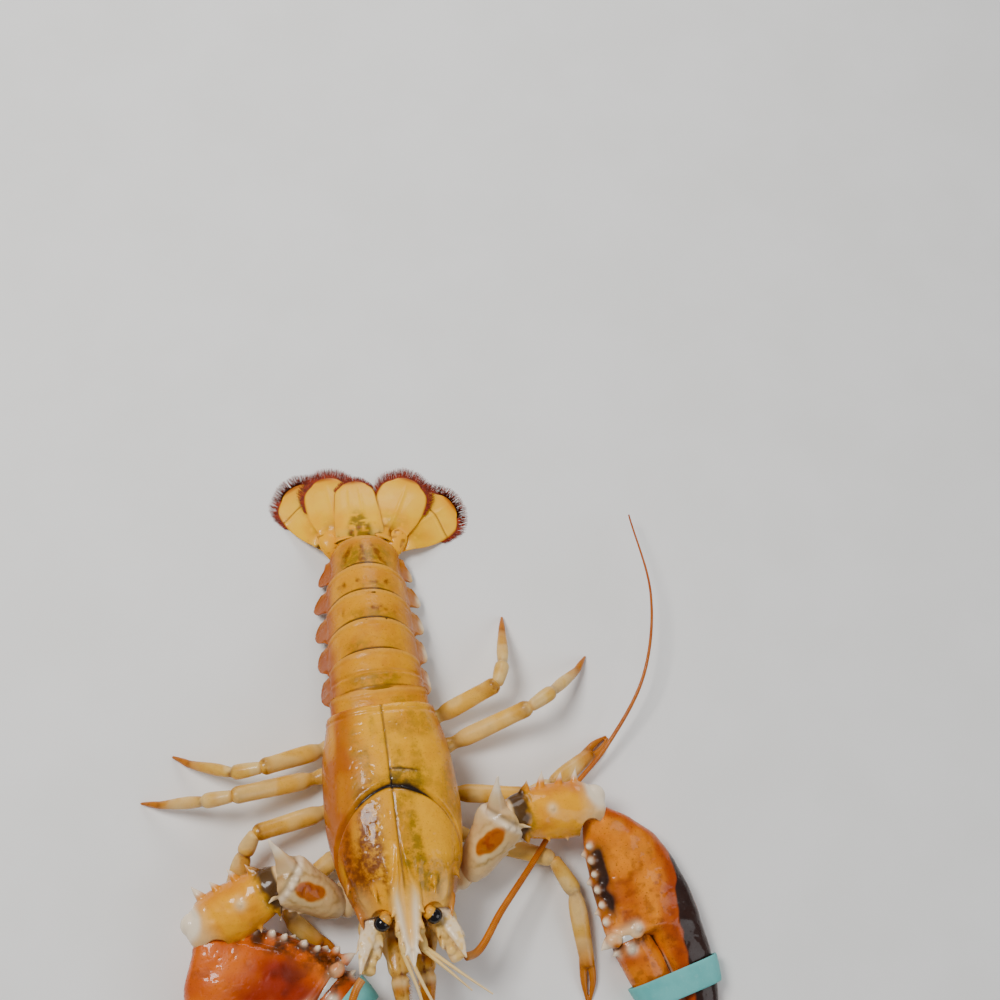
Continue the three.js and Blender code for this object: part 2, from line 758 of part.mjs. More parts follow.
const ischium = ([hip, elbow], grow = 0) =>
  limb(
    [
      [hip, 6.4, 5.4],
      [along(hip, elbow, 0.35), 6, 5.2],
      [along(hip, elbow, 0.8), 8, 6.6],
      [elbow, 7.4, 6.2],
    ],
    point(0, 0, 1),
    { sides: 10, grow },
  );
const merus = ([, elbow, wrist], grow = 0) =>
  limb(
    [
      [along(elbow, wrist, 0.04), 6.2, 6.4],
      [along(elbow, wrist, 0.2), 8.6, 8.2],
      [along(elbow, wrist, 0.6), 10.6, 9.6],
      [along(elbow, wrist, 0.92), 12.6, 10.6],
      [along(elbow, wrist, 1.06), 10.4, 9.4],
    ],
    point(0, 0, 1),
    { sides: 12, grow },
  );
const carpus = ([, , wrist, palm], grow = 0) =>
  limb(
    [
      [along(wrist, palm, 0.02), 8, 7.6],
      [along(wrist, palm, 0.16), 10.6, 9.6],
      [along(wrist, palm, 0.45), 13, 11.2],
      [along(wrist, palm, 0.8), 13.4, 11.4],
      [along(wrist, palm, 1), 10.4, 9.8],
    ],
    point(0, 0, 1),
    { sides: 12, grow },
  );
const condyle = ([, , wrist, palm], grow = 0) =>
  ball(offset(along(wrist, palm, 0.94), point(0, 0, 1), 5), [6.4, 6.4, 6.2], grow, 9);

bothSides.forEach(([name, side]) => {
  const { joints } = arms[name];
  const [hip, elbow, wrist, palm] = joints;
  const hand = handFrame(name);
  const crusher = name === "right";
  const up = point(0, 0, 1);
  const reach = wrist.clone().sub(elbow).normalize();
  const outward = palm.clone().sub(wrist).normalize();
  const rear = point(-outward.y * side, outward.x * side, 0).normalize();
  const front = rear.clone().negate();

  // Teeth along the inner edge of the ischium
  const inside = point((elbow.y - hip.y) * side, (hip.x - elbow.x) * side, 0).normalize();
  const ischiumTeeth = [0.4, 0.58, 0.76, 0.92].map((share) => {
    const root = offset(along(hip, elbow, share), inside, 4.5);
    return spine(root, offset(root, inside, 6).addScaledVector(up, 0.6), 1.5, 4);
  });

  // The merus carries one great spine at its far upper corner and shorter ones on its front edge
  const crown = offset(along(elbow, wrist, 0.86), up, 4);
  const merusSpines = [
    spine(crown, offset(crown, up, 13.5).addScaledVector(rear, 12).addScaledVector(reach, 1), 4.4, 6),
    ...[
      [0.9, 9, 16, -3],
      [0.74, 8.4, 14.6, 1.5],
      [0.95, 6, 13.6, 7],
    ].map(([share, root, tip, lift]) => {
      const start = offset(along(elbow, wrist, share), front, root).addScaledVector(up, lift * 0.5);
      return spine(start, offset(along(elbow, wrist, share + 0.1), front, tip).addScaledVector(up, lift), 2);
    }),
  ];

  // Carpus spines stand along its rear edge and its front edge
  const carpusSpines = [
    ...[0.26, 0.44, 0.6, 0.75].map((share, i) => {
      const start = offset(along(wrist, palm, share), rear, 9.5).addScaledVector(up, 4);
      return spine(start, offset(start, rear, 6.4 - (i % 2)).addScaledVector(up, 2.4), 1.9);
    }),
    ...[0.25, 0.55].map((share) => {
      const start = offset(along(wrist, palm, share), front, 10).addScaledVector(up, 2);
      return spine(start, offset(start, front, 5.4).addScaledVector(outward, 1.6), 1.8);
    }),
    tubercle(offset(along(wrist, palm, 0.5), up, 10), up, 2.1, 2.6),
  ];

  // Tubercles stand in two rows along the inner edge of the palm
  const knobShares = crusher ? [0.125, 0.185, 0.245, 0.305, 0.365] : [0.12, 0.175, 0.23, 0.285, 0.35, 0.405];
  const slant = hand.inner.clone().multiplyScalar(0.8).addScaledVector(hand.rise, 0.6).normalize();
  const knobs = knobShares.flatMap((share, i) => {
    const [innerEdge, , halfThick] = profile(hand.table, share);
    const upper = hand.at(share, innerEdge - 2.6, halfThick * hand.thickness * 0.5);
    const lower = hand.at(share + 0.02, innerEdge - 1, -1);
    const stout = 2.6 - 0.15 * i;
    const row = [tubercle(upper, slant, stout, 3)];
    return i % 2 ? row : [...row, tubercle(lower, hand.inner, 2, 2.8)];
  });

  // Biting edges: broad molars on the crusher, finer teeth on the cutter, each set between the other's
  const [firstTooth, pitch, count] = crusher ? [0.5, 0.078, 5] : [0.51, 0.07, 6];
  const teeth = (table, start, total, direction, edge) =>
    Array.from({ length: total }, (_, i) => {
      const share = start + pitch * i;
      const size = (crusher ? 2.6 : 1.7) * (1 - (0.5 * i) / total);
      const root = hand.at(share, profile(table, share)[edge] - direction * 0.9, 0);
      return tubercle(root, hand.inner.clone().multiplyScalar(direction), size, 1.4);
    });

  const shoulder = spine(
    hand.at(hand.fingerTable[0][0] + 0.015, hand.fingerTable[0][1] - 5, 3),
    hand.at(hand.fingerTable[0][0] + 0.03, hand.fingerTable[0][1] + 3.2, 4),
    2.4,
  );

  // The rubber band: a flat loop stretched round both fingers
  const bandShare = crusher ? 0.53 : 0.665;
  const bandLoop = (push, wide) =>
    through([-1, -0.3, 0.3, 1].map((end) => wrapped(hand, bandShare + (end * wide) / hand.length, push, 24)));
  const wristCuts = [carpus(joints, gap), condyle(joints, gap)];
  const palmBody = joined([handSolid(hand, hand.table, 16), ...knobs, ...teeth(hand.table, firstTooth, count, 1, 0)]);
  const fingerBody = [handSolid(hand, hand.fingerTable, 12), ...teeth(hand.fingerTable, firstTooth + pitch / 2, count - 1, -1, 1)];
  const trimmedSpines = cutBy(joined([...carpusSpines, condyle(joints)]), [handSolid(hand, hand.table, 16, gap)]);

  add(claws, `claw_ischium_${name}`, "pale", joined([ischium(joints), ...ischiumTeeth]));
  add(claws, `claw_merus_${name}`, "claw", cutBy(joined([merus(joints), ...merusSpines]), [ischium(joints, gap)]));
  add(
    claws,
    `claw_carpus_${name}`,
    "claw",
    cutBy(joined([carpus(joints), trimmedSpines, condyle(joints)]), [merus(joints, gap)]),
  );
  add(claws, `claw_hand_${name}`, "claw", aboveFloor(cutBy(palmBody, wristCuts)));
  add(claws, `claw_finger_${name}`, "claw", aboveFloor(joined([...fingerBody, shoulder])));
  add(claws, `claw_band_${name}`, "band", aboveFloor(bandLoop(gap + 2.5, 6.6).subtract(bandLoop(gap + 1, 7))));
});

// Walking legs
// Each leg runs hip, knee, ankle, foot and tip. The first two pairs end in small pincers.
const walkers = {
  left: [
    [point(14.5, -55, 10), point(77, -82, 13.6), point(85.5, -99, 10), point(87, -134, 4.6), point(85, -151, 0.5)],
    [point(14.5, -39, 10), point(68, -49, 13), point(82, -46, 12), point(106, -32, 4.4), point(117, -24, 0.5)],
    [point(14.5, -23, 9.5), point(76, -7, 26), point(89, 0, 22), point(106, 12, 7), point(113, 20, 0.5)],
    [point(14, -8, 9), point(61, 7, 25), point(66, 18, 20), point(70, 38, 7), point(72, 47, 0.5)],
  ],
  right: [
    [point(-14.5, -55, 10), point(-52, -80, 11), point(-55, -91, 10.6), point(-42, -104, 4.4), point(-33, -113, 0.5)],
    [point(-14.5, -39, 10), point(-67, -50, 23), point(-73, -58, 17), point(-82, -76, 6), point(-87, -88, 0.5)],
    [point(-14.5, -23, 9.5), point(-76, -31, 25), point(-90, -31, 21), point(-112, -28, 7), point(-122, -25, 0.5)],
    [point(-14, -8, 9), point(-61, -19, 24), point(-75, -19, 20), point(-96, -10, 7), point(-105, -4, 0.5)],
  ],
};
const coxa = ([hip], side, grow = 0) =>
  limb(
    [
      [point(hip.x - side * 3.5, hip.y, hip.z + 0.4), 5, 4],
      [point(hip.x + side * 5, hip.y, hip.z), 5.2, 4.2],
    ],
    point(0, 0, 1),
    { sides: 8, grow },
  );

// The upper leg leaves the thorax level, below the carapace's edge, then rises to the knee.
function upperLeg(chain, side) {
  const [hip, knee] = chain;
  const bend = along(hip, knee, 0.36).setZ(hip.z);
  return joined([
    coxa(chain, side),
    limb(
      [
        [along(hip, bend, 0.1), 4.1, 3.5],
        [along(hip, bend, 0.8), 4.2, 3.5],
        [bend, 3.4, 3],
        [along(bend, knee, 0.16), 4.6, 3.5],
        [along(bend, knee, 0.8), 4.3, 3.4],
        [along(bend, knee, 1), 3.8, 3.2],
      ],
      point(0, 0, 1),
    ),
  ]);
}

function lowerLeg(chain, pincer) {
  const [, knee, ankle, foot, tip] = chain;
  const normal = point(0, 0, 1);
  const radii = pincer ? [3.2, 4.2, 3.2, 4.6, 3.8] : [3.1, 3.8, 2.8, 3.1, 2.1];
  const shaft = [
    [knee, radii[0], radii[0]],
    [along(knee, ankle, 0.7), radii[1], radii[1] * 0.95],
    [along(knee, ankle, 1.04), radii[2] * 0.86, radii[2] * 0.86],
    [along(ankle, foot, 0.35), radii[3], radii[2]],
    [foot, radii[4] * 0.9, radii[4] * 0.7],
  ];
  if (!pincer)
    return limb([...shaft, [along(foot, tip, 0.4), 1.6, 1.6], [tip, 0.8, 0.8]], normal, { sides: 7 });
  const across = tip.clone().sub(foot).cross(normal).normalize();
  const fingers = [-1, 1].map((turn) => {
    const start = offset(along(ankle, foot, 0.86), across, turn * 1.7);
    const bend = offset(along(foot, tip, 0.4), across, turn * 2.3);
    return limb([[start, 2.1, 2], [bend, 1.7, 1.5], [offset(tip, across, turn * 0.7), 0.6, 0.8]], normal, {
      sides: 5,
    });
  });
  return joined([limb(shaft, normal, { sides: 7 }), ...fingers]);
}

const coxae = [];
bothSides.forEach(([name, side]) => {
  walkers[name].forEach((chain, i) => {
    const [hip, knee, ankle] = chain;
    coxae.push(coxa(chain, side, gap));
    const bisector = knee.clone().sub(hip).normalize().add(ankle.clone().sub(knee).normalize()).normalize();
    const level = bisector.dot(knee);
    const upper = upperLeg(chain, side).trimByPlane(bisector.clone().negate().toArray(), -level);
    const lower = lowerLeg(chain, i < 2).trimByPlane(bisector.toArray(), level + gap);
    add(legs, `leg_${name}_${i + 2}_upper`, "pale", upper);
    add(legs, `leg_${name}_${i + 2}_lower`, "pale", aboveFloor(lower));
  });
});

// Thorax: the carapace, and the sternum between the legs
const armRoots = bothSides.map(([name]) => ischium(arms[name].joints, gap));
const palps = bothSides.map(([, side]) => maxilliped(side, gap));
const shell = cutBy(joined([through(shellRings), rostrum, ...headSpines]), [
  ...bothSides.map(([, side]) => socket(side)),
  ...bothSides.flatMap(([, side]) => eyeParts(side, gap)),
  ...bothSides.map(([, side]) => peduncle(side, gap)),
  ...armRoots,
  ...palps,
]);
const belowShell = shell.translate(back.clone().multiplyScalar(-gap).toArray());
const sternumRows = [
  [0.6, 13, 8, -29.3, -38],
  [20, 17, 9, -32.4, -41],
  [45, 17, 9, -34.4, -42],
  [66, 16, 9, -34, -41.5],
  [77.5, 14, 8, -32.5, -38.5],
];
const sternum = through(
  sternumRows.map(([ahead, topHalf, bottomHalf, top, bottom]) => [
    onThorax(ahead, -topHalf, top),
    onThorax(ahead, topHalf, top),
    onThorax(ahead, topHalf, top - 3),
    onThorax(ahead, bottomHalf, bottom),
    onThorax(ahead, -bottomHalf, bottom),
    onThorax(ahead, -topHalf, top - 3),
  ]),
);
add(thorax, "carapace", "shell", shell);

// Head
bothSides.forEach(([name, side]) => {
  add(head, `eye_${name}`, "eye", joined(eyeParts(side, 0)));
  add(head, `antenna_base_${name}`, "pale", joined([peduncle(side), scale(side)]));
  const path = feelerPath[name];
  const curve = new THREE.CatmullRomCurve3(path, false, "centripetal");
  const middle = 0.42;
  [
    [0.02, middle, 1],
    [middle + 0.002, 1, 2],
  ].forEach(([from, to, number]) => {
    const count = 12;
    const stretch = Array.from({ length: count + 1 }, (_, i) => {
      const t = from + ((to - from) * i) / count;
      const radius = THREE.MathUtils.lerp(feelerThick, feelerThin, t ** 0.8);
      return [curve.getPointAt(t), radius, radius];
    });
    add(head, `antenna_${name}_${number}`, "feeler", limb(stretch, point(0.02, 0.03, 1), { sides: 6 }));
  });
  add(head, `antennule_${name}`, "pale", cutBy(antennule(side), bothSides.map(([, s]) => peduncle(s, gap))));
  add(head, `maxilliped_${name}`, "pale", maxilliped(side));
});

add(thorax, "sternum", "pale", cutBy(sternum, [belowShell, ...coxae, ...armRoots, ...palps]));
add(head, "mouthparts", "pale", cutBy(mouthparts, [belowShell, ...palps, ...armRoots]));

// The origin is under the middle of the whole animal, on the floor.
const extent = new THREE.Box3().setFromObject(group);
const middleOf = extent.getCenter(point(0, 0, 0));
group.position.set(-middleOf.x, -middleOf.y, -extent.min.z);

export default group;
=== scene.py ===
"""A life-size American lobster on a pale floor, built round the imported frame.

Shapes are worked out in millimetres in the animal's own frame: the rear edge of the carapace is at y = 0,
the head looks along -Y, the left side is +X and the floor is z = 0.
"""

import math

import bpy
import numpy as np
from mathutils import Matrix, Vector

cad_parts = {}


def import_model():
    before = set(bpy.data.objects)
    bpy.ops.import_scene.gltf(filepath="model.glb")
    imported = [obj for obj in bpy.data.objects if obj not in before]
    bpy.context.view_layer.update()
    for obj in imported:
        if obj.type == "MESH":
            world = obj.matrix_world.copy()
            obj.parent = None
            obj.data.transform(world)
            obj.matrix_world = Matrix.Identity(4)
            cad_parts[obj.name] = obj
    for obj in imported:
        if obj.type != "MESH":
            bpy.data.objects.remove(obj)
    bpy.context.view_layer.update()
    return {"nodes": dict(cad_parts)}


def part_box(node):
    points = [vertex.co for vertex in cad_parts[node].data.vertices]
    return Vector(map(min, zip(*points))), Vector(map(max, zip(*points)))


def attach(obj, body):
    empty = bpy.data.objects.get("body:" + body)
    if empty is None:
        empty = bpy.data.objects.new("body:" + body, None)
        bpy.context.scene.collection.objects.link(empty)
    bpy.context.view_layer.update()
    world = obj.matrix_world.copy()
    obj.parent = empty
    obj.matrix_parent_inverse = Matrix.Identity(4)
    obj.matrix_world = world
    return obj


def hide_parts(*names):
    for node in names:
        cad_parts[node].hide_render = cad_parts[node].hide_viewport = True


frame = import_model()

low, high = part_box("carapace")
SHIFT = np.array([(low.x + high.x) * 500, high.y * 1000, 0.0])

# Camera, fitted to the body in the photograph

AZIMUTH, ELEVATION, ROLL = (math.radians(a) for a in (-24.9, 69.5, 17.2))
EYE = np.array([-30.7, -127.9, 711.5])
FIELD = 40.0


def link(name, data):
    obj = bpy.data.objects.new(name, data)
    bpy.context.scene.collection.objects.link(obj)
    return obj


def camera():
    data = bpy.data.cameras.new("camera")
    data.sensor_width = 36
    data.lens = data.sensor_width / 2 / math.tan(math.radians(FIELD / 2))
    data.clip_start = 0.01
    obj = link("camera", data)
    flat = math.cos(ELEVATION)
    look = Vector((-math.sin(AZIMUTH) * flat, math.cos(AZIMUTH) * flat, -math.sin(ELEVATION)))
    right = look.cross(Vector((0, 0, 1))).normalized()
    up = right.cross(look)
    c, s = math.cos(ROLL), math.sin(ROLL)
    turn = Matrix((right * c + up * s, up * c - right * s, -look)).transposed()
    obj.matrix_world = Matrix.Translation(Vector((EYE + SHIFT) / 1000)) @ turn.to_4x4()
    bpy.context.scene.camera = obj


camera()

# Points, tables and curves

TILT = math.radians(6)
NOSE = np.array([0, -math.cos(TILT), math.sin(TILT)])
BACK = np.array([0, math.sin(TILT), math.cos(TILT)])
UP = np.array([0.0, 0.0, 1.0])
LEFT = np.array([1.0, 0.0, 0.0])
REAR_HEIGHT = 47.0
SIDES = (("left", 1), ("right", -1))


def p(*v):
    return np.array(v, float)


def unit(v):
    return v / np.maximum(np.linalg.norm(v, axis=-1, keepdims=True), 1e-12)


def mix(a, b, t):
    return a + (b - a) * t


def smooth(v, start, end):
    t = np.clip((v - start) / (end - start), 0, 1)
    return t * t * (3 - 2 * t)


def bell(v, width):
    return np.exp(-((v / width) ** 2))


def far_from(verts, place):
    return np.linalg.norm(verts - place, axis=1)


def near(verts, place, size):
    return bell(far_from(verts, place), size)


def along(verts, a, b):
    line = b - a
    return ((verts - a) @ line) / (line @ line)


def run_of(points):
    """The distance walked to each point."""
    return np.concatenate([[0], np.cumsum(np.linalg.norm(np.diff(points, axis=0), axis=1))])


def on_thorax(ahead, x, rise):
    ahead, x, rise = np.broadcast_arrays(ahead, x, rise)
    base = np.stack([x, np.zeros_like(x, float), np.full_like(x, REAR_HEIGHT, float)], -1)
    return base + ahead[..., None] * NOSE + rise[..., None] * BACK


def stations(rows, side=1):
    """Limb stations from rows of: ahead on the thorax, aside, up, half width, half thickness."""
    return [(on_thorax(ahead, side * x, rise), wide, thick) for ahead, x, rise, wide, thick in rows]


def profile(table, keys):
    """Reads a table whose rows start with a key, with smooth steps between the rows."""
    rows = np.array(table, float)
    x, y = rows[:, 0], rows[:, 1:]
    slope = np.empty_like(y)
    slope[1:-1] = (y[2:] - y[:-2]) / (x[2:] - x[:-2])[:, None]
    slope[0] = (y[1] - y[0]) / (x[1] - x[0])
    slope[-1] = (y[-1] - y[-2]) / (x[-1] - x[-2])
    keys = np.clip(np.asarray(keys, float), x[0], x[-1])
    i = np.clip(np.searchsorted(x, keys, side="right") - 1, 0, len(x) - 2)
    span = (x[i + 1] - x[i])[..., None]
    t = ((keys - x[i]) / (x[i + 1] - x[i]))[..., None]
    return (
        (2 * t**3 - 3 * t**2 + 1) * y[i]
        + (3 * t**2 - 2 * t**3) * y[i + 1]
        + (t**3 - 2 * t**2 + t) * slope[i] * span
        + (t**3 - t**2) * slope[i + 1] * span
    )


def curve(points, steps):
    """Evenly spaced points on a smooth curve through the given ones."""
    pts = np.array(points, float)
    pts = np.vstack([2 * pts[0] - pts[1], pts, 2 * pts[-1] - pts[-2]])
    t = np.linspace(0, 1, 60, endpoint=False)[:, None]
    dense = []
    for i in range(1, len(pts) - 2):
        x0, x1, x2, x3 = pts[i - 1 : i + 3]
        d0, d1, d2 = (math.sqrt(np.linalg.norm(b - a)) for a, b in ((x0, x1), (x1, x2), (x2, x3)))
        t1 = ((x1 - x0) / d0 - (x2 - x0) / (d0 + d1) + (x2 - x1) / d1) * d1
        t2 = ((x2 - x1) / d1 - (x3 - x1) / (d1 + d2) + (x3 - x2) / d2) * d1
        dense.append(x1 + t1 * t + (3 * (x2 - x1) - 2 * t1 - t2) * t**2 + (2 * (x1 - x2) + t1 + t2) * t**3)
    dense = np.vstack([*dense, pts[-2:-1]])
    run = run_of(dense)
    at = np.linspace(0, run[-1], steps)
    return np.stack([np.interp(at, run, dense[:, k]) for k in range(3)], 1)


# Surfaces: each is (vertices, faces)


def closed(rings):
    """A closed surface through rings of equal count, capped at both ends."""
    rings = np.asarray(rings, float)
    n, m = rings.shape[:2]
    verts = rings.reshape(-1, 3)
    i, j = np.meshgrid(np.arange(n - 1), np.arange(m), indexing="ij")
    a, b = i * m + j, i * m + (j + 1) % m
    faces = np.stack([a, b, b + m, a + m], -1).reshape(-1, 4).tolist()
    first, last, top = len(verts), len(verts) + 1, (n - 1) * m
    verts = np.vstack([verts, rings[0].mean(0), rings[-1].mean(0)])
    k = np.arange(m)
    faces += np.stack([(k + 1) % m, k, np.full(m, first)], 1).tolist()
    faces += np.stack([top + k, top + (k + 1) % m, np.full(m, last)], 1).tolist()
    # The volume over a sample of the faces tells which way they all turn
    centre, volume = verts.mean(0), 0.0
    for f in faces[:: max(1, len(faces) // 4000)]:
        q = verts[f[:3]] - centre
        volume += np.dot(q[0], np.cross(q[1], q[2])) * (2 if len(f) == 4 else 1)
    return verts, [f[::-1] for f in faces] if volume < 0 else faces


def join(parts):
    verts, faces, count = [], [], 0
    for v, f in parts:
        verts.append(v)
        faces += [[k + count for k in face] for face in f]
        count += len(v)
    return np.vstack(verts), faces


def ring(centre, wide, thick, half_wide, half_thick, sides, power=1.0):
    turn = 2 * math.pi * (np.arange(sides) + 0.5) / sides
    c, s = (bulge(v, power) for v in (np.cos(turn), np.sin(turn)))
    return centre + np.outer(c * half_wide, wide) + np.outer(s * half_thick, thick)


def bulge(v, power):
    return np.sign(v) * np.abs(v) ** power


def tube(stations, normal=UP, sides=36, step=0.8, caps=(0.5, 0.5)):
    """A limb whose stations are (point, half width, half thickness), with rounded ends."""
    pts = np.array([s[0] for s in stations], float)
    run = run_of(pts)
    table = np.column_stack([run, pts, [s[1:] for s in stations]])
    rows = profile(table, np.linspace(0, run[-1], max(4, int(run[-1] / step))))
    tangent = unit(np.gradient(rows[:, :3], axis=0))
    wide = unit(np.cross(tangent, normal))
    thick = np.cross(wide, tangent)

    def dome(k, sign, cap):
        out = []
        for turn in np.radians([80, 58, 38, 18]):
            size = max(math.cos(turn), 0.02)
            centre = rows[k, :3] + tangent[k] * sign * cap * min(rows[k, 3:]) * math.sin(turn)
            out.append(ring(centre, wide[k], thick[k], rows[k, 3] * size, rows[k, 4] * size, sides))
        return out

    body = [ring(r[:3], w, t, r[3], r[4], sides) for r, w, t in zip(rows, wide, thick)]
    return closed(dome(0, -1, caps[0]) + body + dome(-1, 1, caps[1])[::-1])


def taper(root, way, radius, rows, sides, step, caps):
    """A round shape from root along way, from rows of (distance, share of the radius)."""
    upright = abs(way[2]) > 0.9 * np.linalg.norm(way)
    steps = [(root + way * d, radius * w, radius * w) for d, w in rows]
    return tube(steps, LEFT if upright else UP, sides, step, caps)


def spine(root, tip, radius, sides=14):
    rows = ((0, 1.12), (0.25, 0.92), (0.55, 0.6), (0.8, 0.3), (1, 0.1))
    return taper(root, tip - root, radius, rows, sides, 0.5, (0.3, 0.8))


def knob(root, direction, radius, height):
    rows = ((-radius, 1.1), (height * 0.3, 1), (height * 0.7, 0.72), (height, 0.34))
    return taper(root, unit(direction), radius, rows, 18, 0.4, (0.3, 0.9))


def thorax_spines(side, rows):
    """Spines from rows of: root and tip as (ahead, aside, up), and radius."""
    return [
        spine(*(on_thorax(ahead, side * x, rise) for ahead, x, rise in ends), radius) for *ends, radius in rows
    ]


def ball(centre, radii, sides=28):
    around = 2 * math.pi * np.arange(sides * 2) / (sides * 2)
    rings = []
    for t in np.radians(np.linspace(-88, 88, sides)):
        level = [np.cos(t) * np.cos(around), np.cos(t) * np.sin(around), np.full_like(around, math.sin(t))]
        rings.append(centre + np.stack(level, 1) * np.array(radii, float))
    return closed(rings)


# Blender objects

MASKS = ("warm", "olive", "brown", "red", "pale", "white", "dark")
FLOOR_GAP = 0.02


def masks(verts, **given):
    """One weight from 0 to 1 per vertex for each coat of colour."""
    return {key: np.clip(given.get(key, 0) + np.zeros(len(verts)), 0, 1) for key in MASKS}


def build(name, part, node=None, material=None, masks=None, shade=True):
    """Makes the object of a surface, with its masks as mesh attributes."""
    verts, faces = part
    verts = verts.copy()
    verts[:, 2] = np.maximum(verts[:, 2], FLOOR_GAP)
    mesh = bpy.data.meshes.new(name)
    mesh.from_pydata(((verts + SHIFT) / 1000).tolist(), [], faces)
    mesh.validate()
    if shade:
        mesh.shade_smooth()
    obj = link(name, mesh)
    for key, values in (masks or {}).items():
        attribute = mesh.attributes.new(key, "FLOAT", "POINT")
        attribute.data.foreach_set("value", values.astype(np.float32))
    mesh.materials.append(material)
    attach(obj, "root")
    if node:
        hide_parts(*([node] if isinstance(node, str) else node))


def piece(name, part, slot, material, **given):
    """Builds the piece that takes the place of the node of its own name."""
    build(name, part, name, material, masks(part[0], **given))


def fuse(parts, voxel, rounds=4):
    """Joins closed surfaces into one skin and softens where they meet."""
    verts, faces = join(parts)
    mesh = bpy.data.meshes.new("fuse")
    mesh.from_pydata((verts / 1000).tolist(), [], faces)
    obj = link("fuse", mesh)
    remesh = obj.modifiers.new("remesh", "REMESH")
    remesh.mode = "VOXEL"
    remesh.voxel_size = voxel / 1000
    soften = obj.modifiers.new("soften", "SMOOTH")
    soften.factor = 0.5
    soften.iterations = rounds
    result = bpy.data.meshes.new_from_object(obj.evaluated_get(bpy.context.evaluated_depsgraph_get()))
    fused = read(result)
    bpy.data.objects.remove(obj)
    bpy.data.meshes.remove(mesh)
    bpy.data.meshes.remove(result)
    return fused


def read(mesh):
    def column(items, key, kind, each=1):
        out = np.empty(len(items) * each, kind)
        items.foreach_get(key, out)
        return out

    co = column(mesh.vertices, "co", np.float32, 3)
    loops = column(mesh.loops, "vertex_index", np.int32)
    starts = column(mesh.polygons, "loop_start", np.int32)
    totals = column(mesh.polygons, "loop_total", np.int32)
    faces = [loops[s : s + t].tolist() for s, t in zip(starts, totals)]
    return co.reshape(-1, 3).astype(float) * 1000, faces


def normals(verts, faces):
    quads = np.array([f if len(f) == 4 else [*f, f[-1]] for f in faces])
    diagonal = np.cross(verts[quads[:, 2]] - verts[quads[:, 0]], verts[quads[:, 3]] - verts[quads[:, 1]])
    out = np.zeros_like(verts)
    for k in range(4):
        np.add.at(out, quads[:, k], diagonal)
    return unit(out)


def relief(part, amount):
    """Moves each vertex along its normal."""
    verts, faces = part
    return verts + normals(verts, faces) * amount[:, None], faces


def carve(verts, a, b, radius):
    """Pushes vertices out of a capsule round the line from a to b."""
    line = b - a
    t = np.clip(((verts - a) @ line) / max(line @ line, 1e-9), 0, 1)
    away = verts - (a + t[:, None] * line)
    far = np.linalg.norm(away, axis=1)
    inside = far < radius
    verts[inside] += away[inside] * (radius / np.maximum(far[inside], 1e-6) - 1)[:, None]


def cell_noise(points, size, seed=0):
    """Smooth value noise from 0 to 1, with features of about the given size in millimetres."""
    q = points / size + seed * 17.31
    base = np.floor(q).astype(np.int64)
    f = q - base
    f = f * f * (3 - 2 * f)
    total = np.zeros(len(points))
    for corner in np.ndindex(2, 2, 2):
        k = base + corner
        h = (k[:, 0] * 73856093) ^ (k[:, 1] * 19349663) ^ (k[:, 2] * 83492791) ^ (seed * 2654435)
        h = (h ^ (h >> 13)) * 1274126177
        value = ((h ^ (h >> 16)) & 0xFFFF) / 65535
        wx, wy, wz = (f[:, axis] if on else 1 - f[:, axis] for axis, on in enumerate(corner))
        total += value * (wx * wy) * wz
    return total


# Materials


